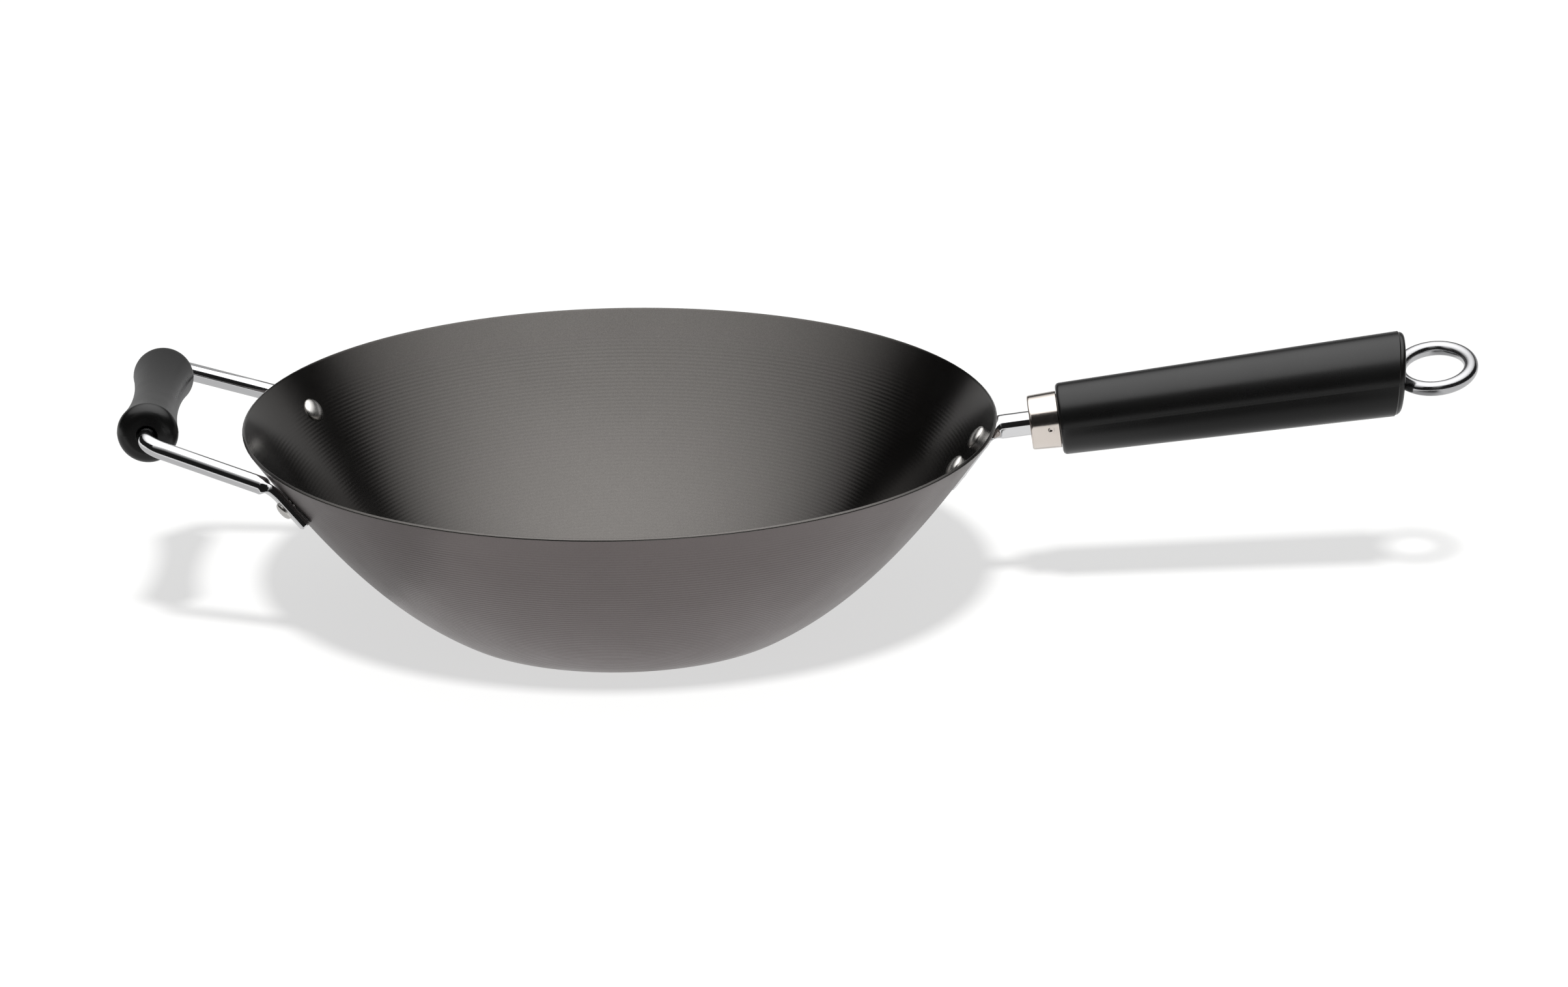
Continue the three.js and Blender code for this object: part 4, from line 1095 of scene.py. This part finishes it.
def studio_sky():
    """A white sky: full white where it is seen or mirrored, softer as light."""
    world = bpy.data.worlds.new("studio_sky")
    world.use_nodes = True
    nodes = world.node_tree.nodes
    link = world.node_tree.links.new
    background = nodes["Background"]
    background.inputs["Color"].default_value = (1, 1, 1, 1)
    link(level_by_ray(nodes, link, 1.0, 1.0, SKY_STRENGTH), background.inputs["Strength"])
    bpy.context.scene.world = world


def stage_object(name, points, faces, material):
    """One object of the studio, which isn't part of the wok."""
    mesh = bpy.data.meshes.new(name)
    mesh.from_pydata(points, [], faces)
    mesh.materials.append(material)
    item = bpy.data.objects.new(name, mesh)
    bpy.context.scene.collection.objects.link(item)
    return item


def bare_material(name):
    """A material without its usual shader: itself, its nodes and the way to link them."""
    material = bpy.data.materials.new(name)
    material.use_nodes = True
    nodes = material.node_tree.nodes
    nodes.remove(nodes["Principled BSDF"])
    return material, nodes, material.node_tree.links.new


def studio_floor():
    """A pale floor that takes the wok's shadow, with a glow that brings its open part to white."""
    material, nodes, link = bare_material("pale_floor")
    matt = add_node(nodes, "ShaderNodeBsdfDiffuse", {"Color": FLOOR_COLOUR})
    glow = nodes.new("ShaderNodeEmission")
    both = nodes.new("ShaderNodeAddShader")
    link(level_by_ray(nodes, link, FLOOR_GLOW, FLOOR_GLOW_MIRRORED, 0.0), glow.inputs["Strength"])
    link(matt.outputs["BSDF"], both.inputs[0])
    link(glow.outputs["Emission"], both.inputs[1])
    link(both.outputs["Shader"], nodes["Material Output"].inputs["Surface"])
    h = FLOOR_HALF
    corners = [(-h, -h, -MM), (h, -h, -MM), (h, h, -MM), (-h, h, -MM)]
    stage_object("studio_floor", corners, [(0, 1, 2, 3)], material)


def panel_glow():
    """One material for all the panels: each point of a panel gives off the level that it holds."""
    material, nodes, link = bare_material("panel_glow")
    level = add_node(nodes, "ShaderNodeAttribute", attribute_name="level")
    glow = nodes.new("ShaderNodeEmission")
    link(level.outputs["Fac"], glow.inputs["Strength"])
    link(glow.outputs["Emission"], nodes["Material Output"].inputs["Surface"])
    return material


def mirrored_panel(name, rows, levels, material):
    """A studio panel that only polished surfaces see: points, rows by columns by 3, each with a level."""
    count, columns, _ = rows.shape
    row = np.arange(count - 1)[:, None] * columns
    column = np.arange(columns - 1)
    corners = [row + column, row + column + 1, row + columns + column + 1, row + columns + column]
    faces = np.stack(corners, axis=-1).reshape(-1, 4)
    panel = stage_object(name, rows.reshape(-1, 3).tolist(), faces.tolist(), material)
    held = panel.data.attributes.new("level", "FLOAT", "POINT")
    held.data.foreach_set("value", np.broadcast_to(levels, (count, columns)).ravel().astype(np.float32))
    panel.visible_camera = False
    panel.visible_diffuse = False
    panel.visible_shadow = False
    panel.visible_transmission = False


def ring_panel(name, place, radii, levels, material):
    """A round level panel: rings about a place, each with its level."""
    turn = np.linspace(0, 2 * math.pi, PANEL_COLUMNS)
    radii = np.array(radii)[:, None]
    x = place[0] + radii * np.cos(turn)
    y = place[1] + radii * np.sin(turn)
    rings = np.stack(np.broadcast_arrays(x, y, place[2]), axis=-1)
    mirrored_panel(name, rings, np.array(levels)[:, None], material)


def softbox(material):
    """A broad white panel overhead. At angle a from overhead its level falls by (a / edge) to a power."""
    angle = np.linspace(SOFTBOX_FIRST_RING, SOFTBOX_EDGE, SOFTBOX_RINGS)
    levels = SOFTBOX_LEVEL * (1 - (angle / SOFTBOX_EDGE) ** SOFTBOX_FALL)
    ring_panel("softbox_panel", SOFTBOX_PLACE, SOFTBOX_PLACE[2] * np.tan(angle), levels, material)


def dark_surround(material):
    """A dark screen round the set, with a backdrop below it.

    Heights are the radius times the tangent of an angle. With c from -1 at the back to 1 at the front, the
    top's angle is side + c (front - back) / 2 + c squared ((front + back) / 2 - side). The screen starts
    above the floor at the back.
    """
    turn = np.linspace(0, 2 * math.pi, SURROUND_COLUMNS)
    to_camera = -np.sin(turn)
    to_right = np.cos(turn)
    lean = (SURROUND_FRONT - SURROUND_BACK) / 2
    bow = (SURROUND_FRONT + SURROUND_BACK) / 2 - SURROUND_SIDE
    top = SURROUND_SIDE + to_camera * lean + to_camera**2 * bow
    start = BACK_GAP * (1 + BACK_GAP_LEAN * to_right) * ease(-to_camera, *BACK_GAP_EASE)

    def at_angle(angle):
        """Points of the surround at an angle above the floor."""
        circle = [np.cos(turn), np.sin(turn), np.tan(angle)]
        return SURROUND_RADIUS * np.stack(np.broadcast_arrays(*circle), axis=-1)

    mirrored_panel("dark_surround", np.stack([at_angle(start), at_angle(top)]), DARK_LEVEL, material)
    mirrored_panel("backdrop", np.stack([at_angle(0), at_angle(start)]), BACK_LEVEL, material)


def floor_card(name, x_places, y_places, height, levels, material):
    """A card that lies level: a grid of columns in x and rows in y."""
    x, y = np.meshgrid(x_places, y_places)
    mirrored_panel(name, np.stack([x, y, np.full_like(x, height)], axis=-1), levels, material)


def floor_cards(material):
    """A dark mat on the floor in front, which fades at two of its edges, a grey card, and the grip's mat."""
    mat_x = [-SURROUND_RADIUS, MAT_END - MAT_FADE, MAT_END]
    mat_y = [-SURROUND_RADIUS, MAT_START - MAT_FADE, MAT_START]
    pale = np.array([[0, 0, 1], [0, 0, 1], [1, 1, 1]])
    mat_levels = DARK_LEVEL + (PALE_LEVEL - DARK_LEVEL) * pale
    floor_card("dark_mat", mat_x, mat_y, MM, mat_levels, material)
    floor_card("left_card", *LEFT_CARD, MM / 2, LEFT_CARD_LEVEL, material)
    floor_card("grip_mat", *GRIP_MAT, MM / 2, GRIP_MAT_LEVELS, material)


def hung_card(name, x_reach, y, rise, levels, material):
    """A card hung before or behind a handle.

    A row's height is the handles' plus the card's distance times the tangent of the row's angle.
    """
    x, z = np.meshgrid(x_reach, HANDLES_HEIGHT + abs(y) * np.tan(np.radians(rise)))
    rows = np.stack([x, np.full_like(x, y), z], axis=-1)
    mirrored_panel(name, rows, np.array(levels)[:, None], material)


def key_light():
    """A distant light from above and in front, whose shadow falls back from the wok."""
    lamp = bpy.data.lights.new("key_light", "SUN")
    lamp.angle = KEY_SPREAD
    lamp.energy = KEY_STRENGTH
    light = bpy.data.objects.new("key_light", lamp)
    light.rotation_euler = (KEY_TILT, 0, 0)
    light.visible_glossy = False
    bpy.context.scene.collection.objects.link(light)


def camera():
    """The photograph's view: turned by yaw, pitched down, then rolled about the line of sight."""
    flat = math.cos(CAMERA_PITCH)
    forward = Vector((math.sin(CAMERA_YAW) * flat, math.cos(CAMERA_YAW) * flat, -math.sin(CAMERA_PITCH)))
    level = forward.cross(Vector((0, 0, 1))).normalized()
    upright = level.cross(forward)
    right = math.cos(CAMERA_ROLL) * level + math.sin(CAMERA_ROLL) * upright
    up = math.cos(CAMERA_ROLL) * upright - math.sin(CAMERA_ROLL) * level
    lens = bpy.data.cameras.new("photo_view")
    lens.sensor_fit = "HORIZONTAL"
    lens.sensor_width = CAMERA_SENSOR
    lens.lens = CAMERA_LENS
    lens.clip_end = CAMERA_FAR
    view = bpy.data.objects.new("photo_view", lens)
    turn = Matrix((right, up, -forward)).transposed().to_4x4()
    view.matrix_world = Matrix.Translation(CAMERA_PLACE) @ turn
    bpy.context.scene.collection.objects.link(view)
    bpy.context.scene.camera = view


def wok():
    """All the pieces of the wok with their finishes."""
    fleck = fleck_group()
    lines = lines_group()
    grain = grain_group()
    inside = coat("non_stick_inside", fleck, lines, grain, INSIDE_COAT, metallic=1.0)
    outside = coat("coat_outside", fleck, lines, grain, OUTSIDE_COAT, metallic=0.95)
    chrome = metal("bright_chrome", grain, BRIGHT_CHROME, fine=700.0, broad=90.0)
    loop_plate = metal("dull_chrome", grain, DULL_CHROME, fine=700.0, broad=90.0)
    steel = metal("rivet_steel", grain, RIVET_STEEL, fine=1500.0, broad=260.0, relief=(0.05, 0.00005))
    zinc = metal("zinc_plate", grain, ZINC_PLATE, fine=1400.0, broad=300.0, relief=(0.08, 0.00006))
    black = phenolic(grain, fleck)
    bowl([outside, inside])
    neck(chrome)
    neck_holds = (NECK_PADDLE_THICKNESS, NECK_TAIL_HEIGHT, steel)
    rivet("rivet_upper", "neck_rivet_upper", 0, NECK_RIVET_DROPS[0], *neck_holds)
    rivet("rivet_lower", "neck_rivet_lower", 0, NECK_RIVET_DROPS[1], *neck_holds)
    ferrule(nickel(lines, grain))
    grip(black)
    washer(zinc)
    hanging_loop(loop_plate)
    bail(chrome)
    spool(black)
    front, back = HELPER_AZIMUTHS
    helper_holds = (HELPER_RIVET_DROP, HELPER_PADDLE_THICKNESS, HELPER_TAIL_HEIGHT, steel)
    rivet("bail_rivet_front", "helper_rivet_front", front, *helper_holds)
    rivet("bail_rivet_back", "helper_rivet_back", back, *helper_holds)


bpy.context.scene.view_settings.view_transform = "Standard"
camera()
studio_sky()
studio_floor()
glow = panel_glow()
dark_surround(glow)
softbox(glow)
ring_panel("lit_table", TABLE_PLACE, TABLE_RADII, TABLE_LEVELS, glow)
floor_cards(glow)
for card in HUNG_CARDS:
    hung_card(*card, glow)
key_light()
wok()
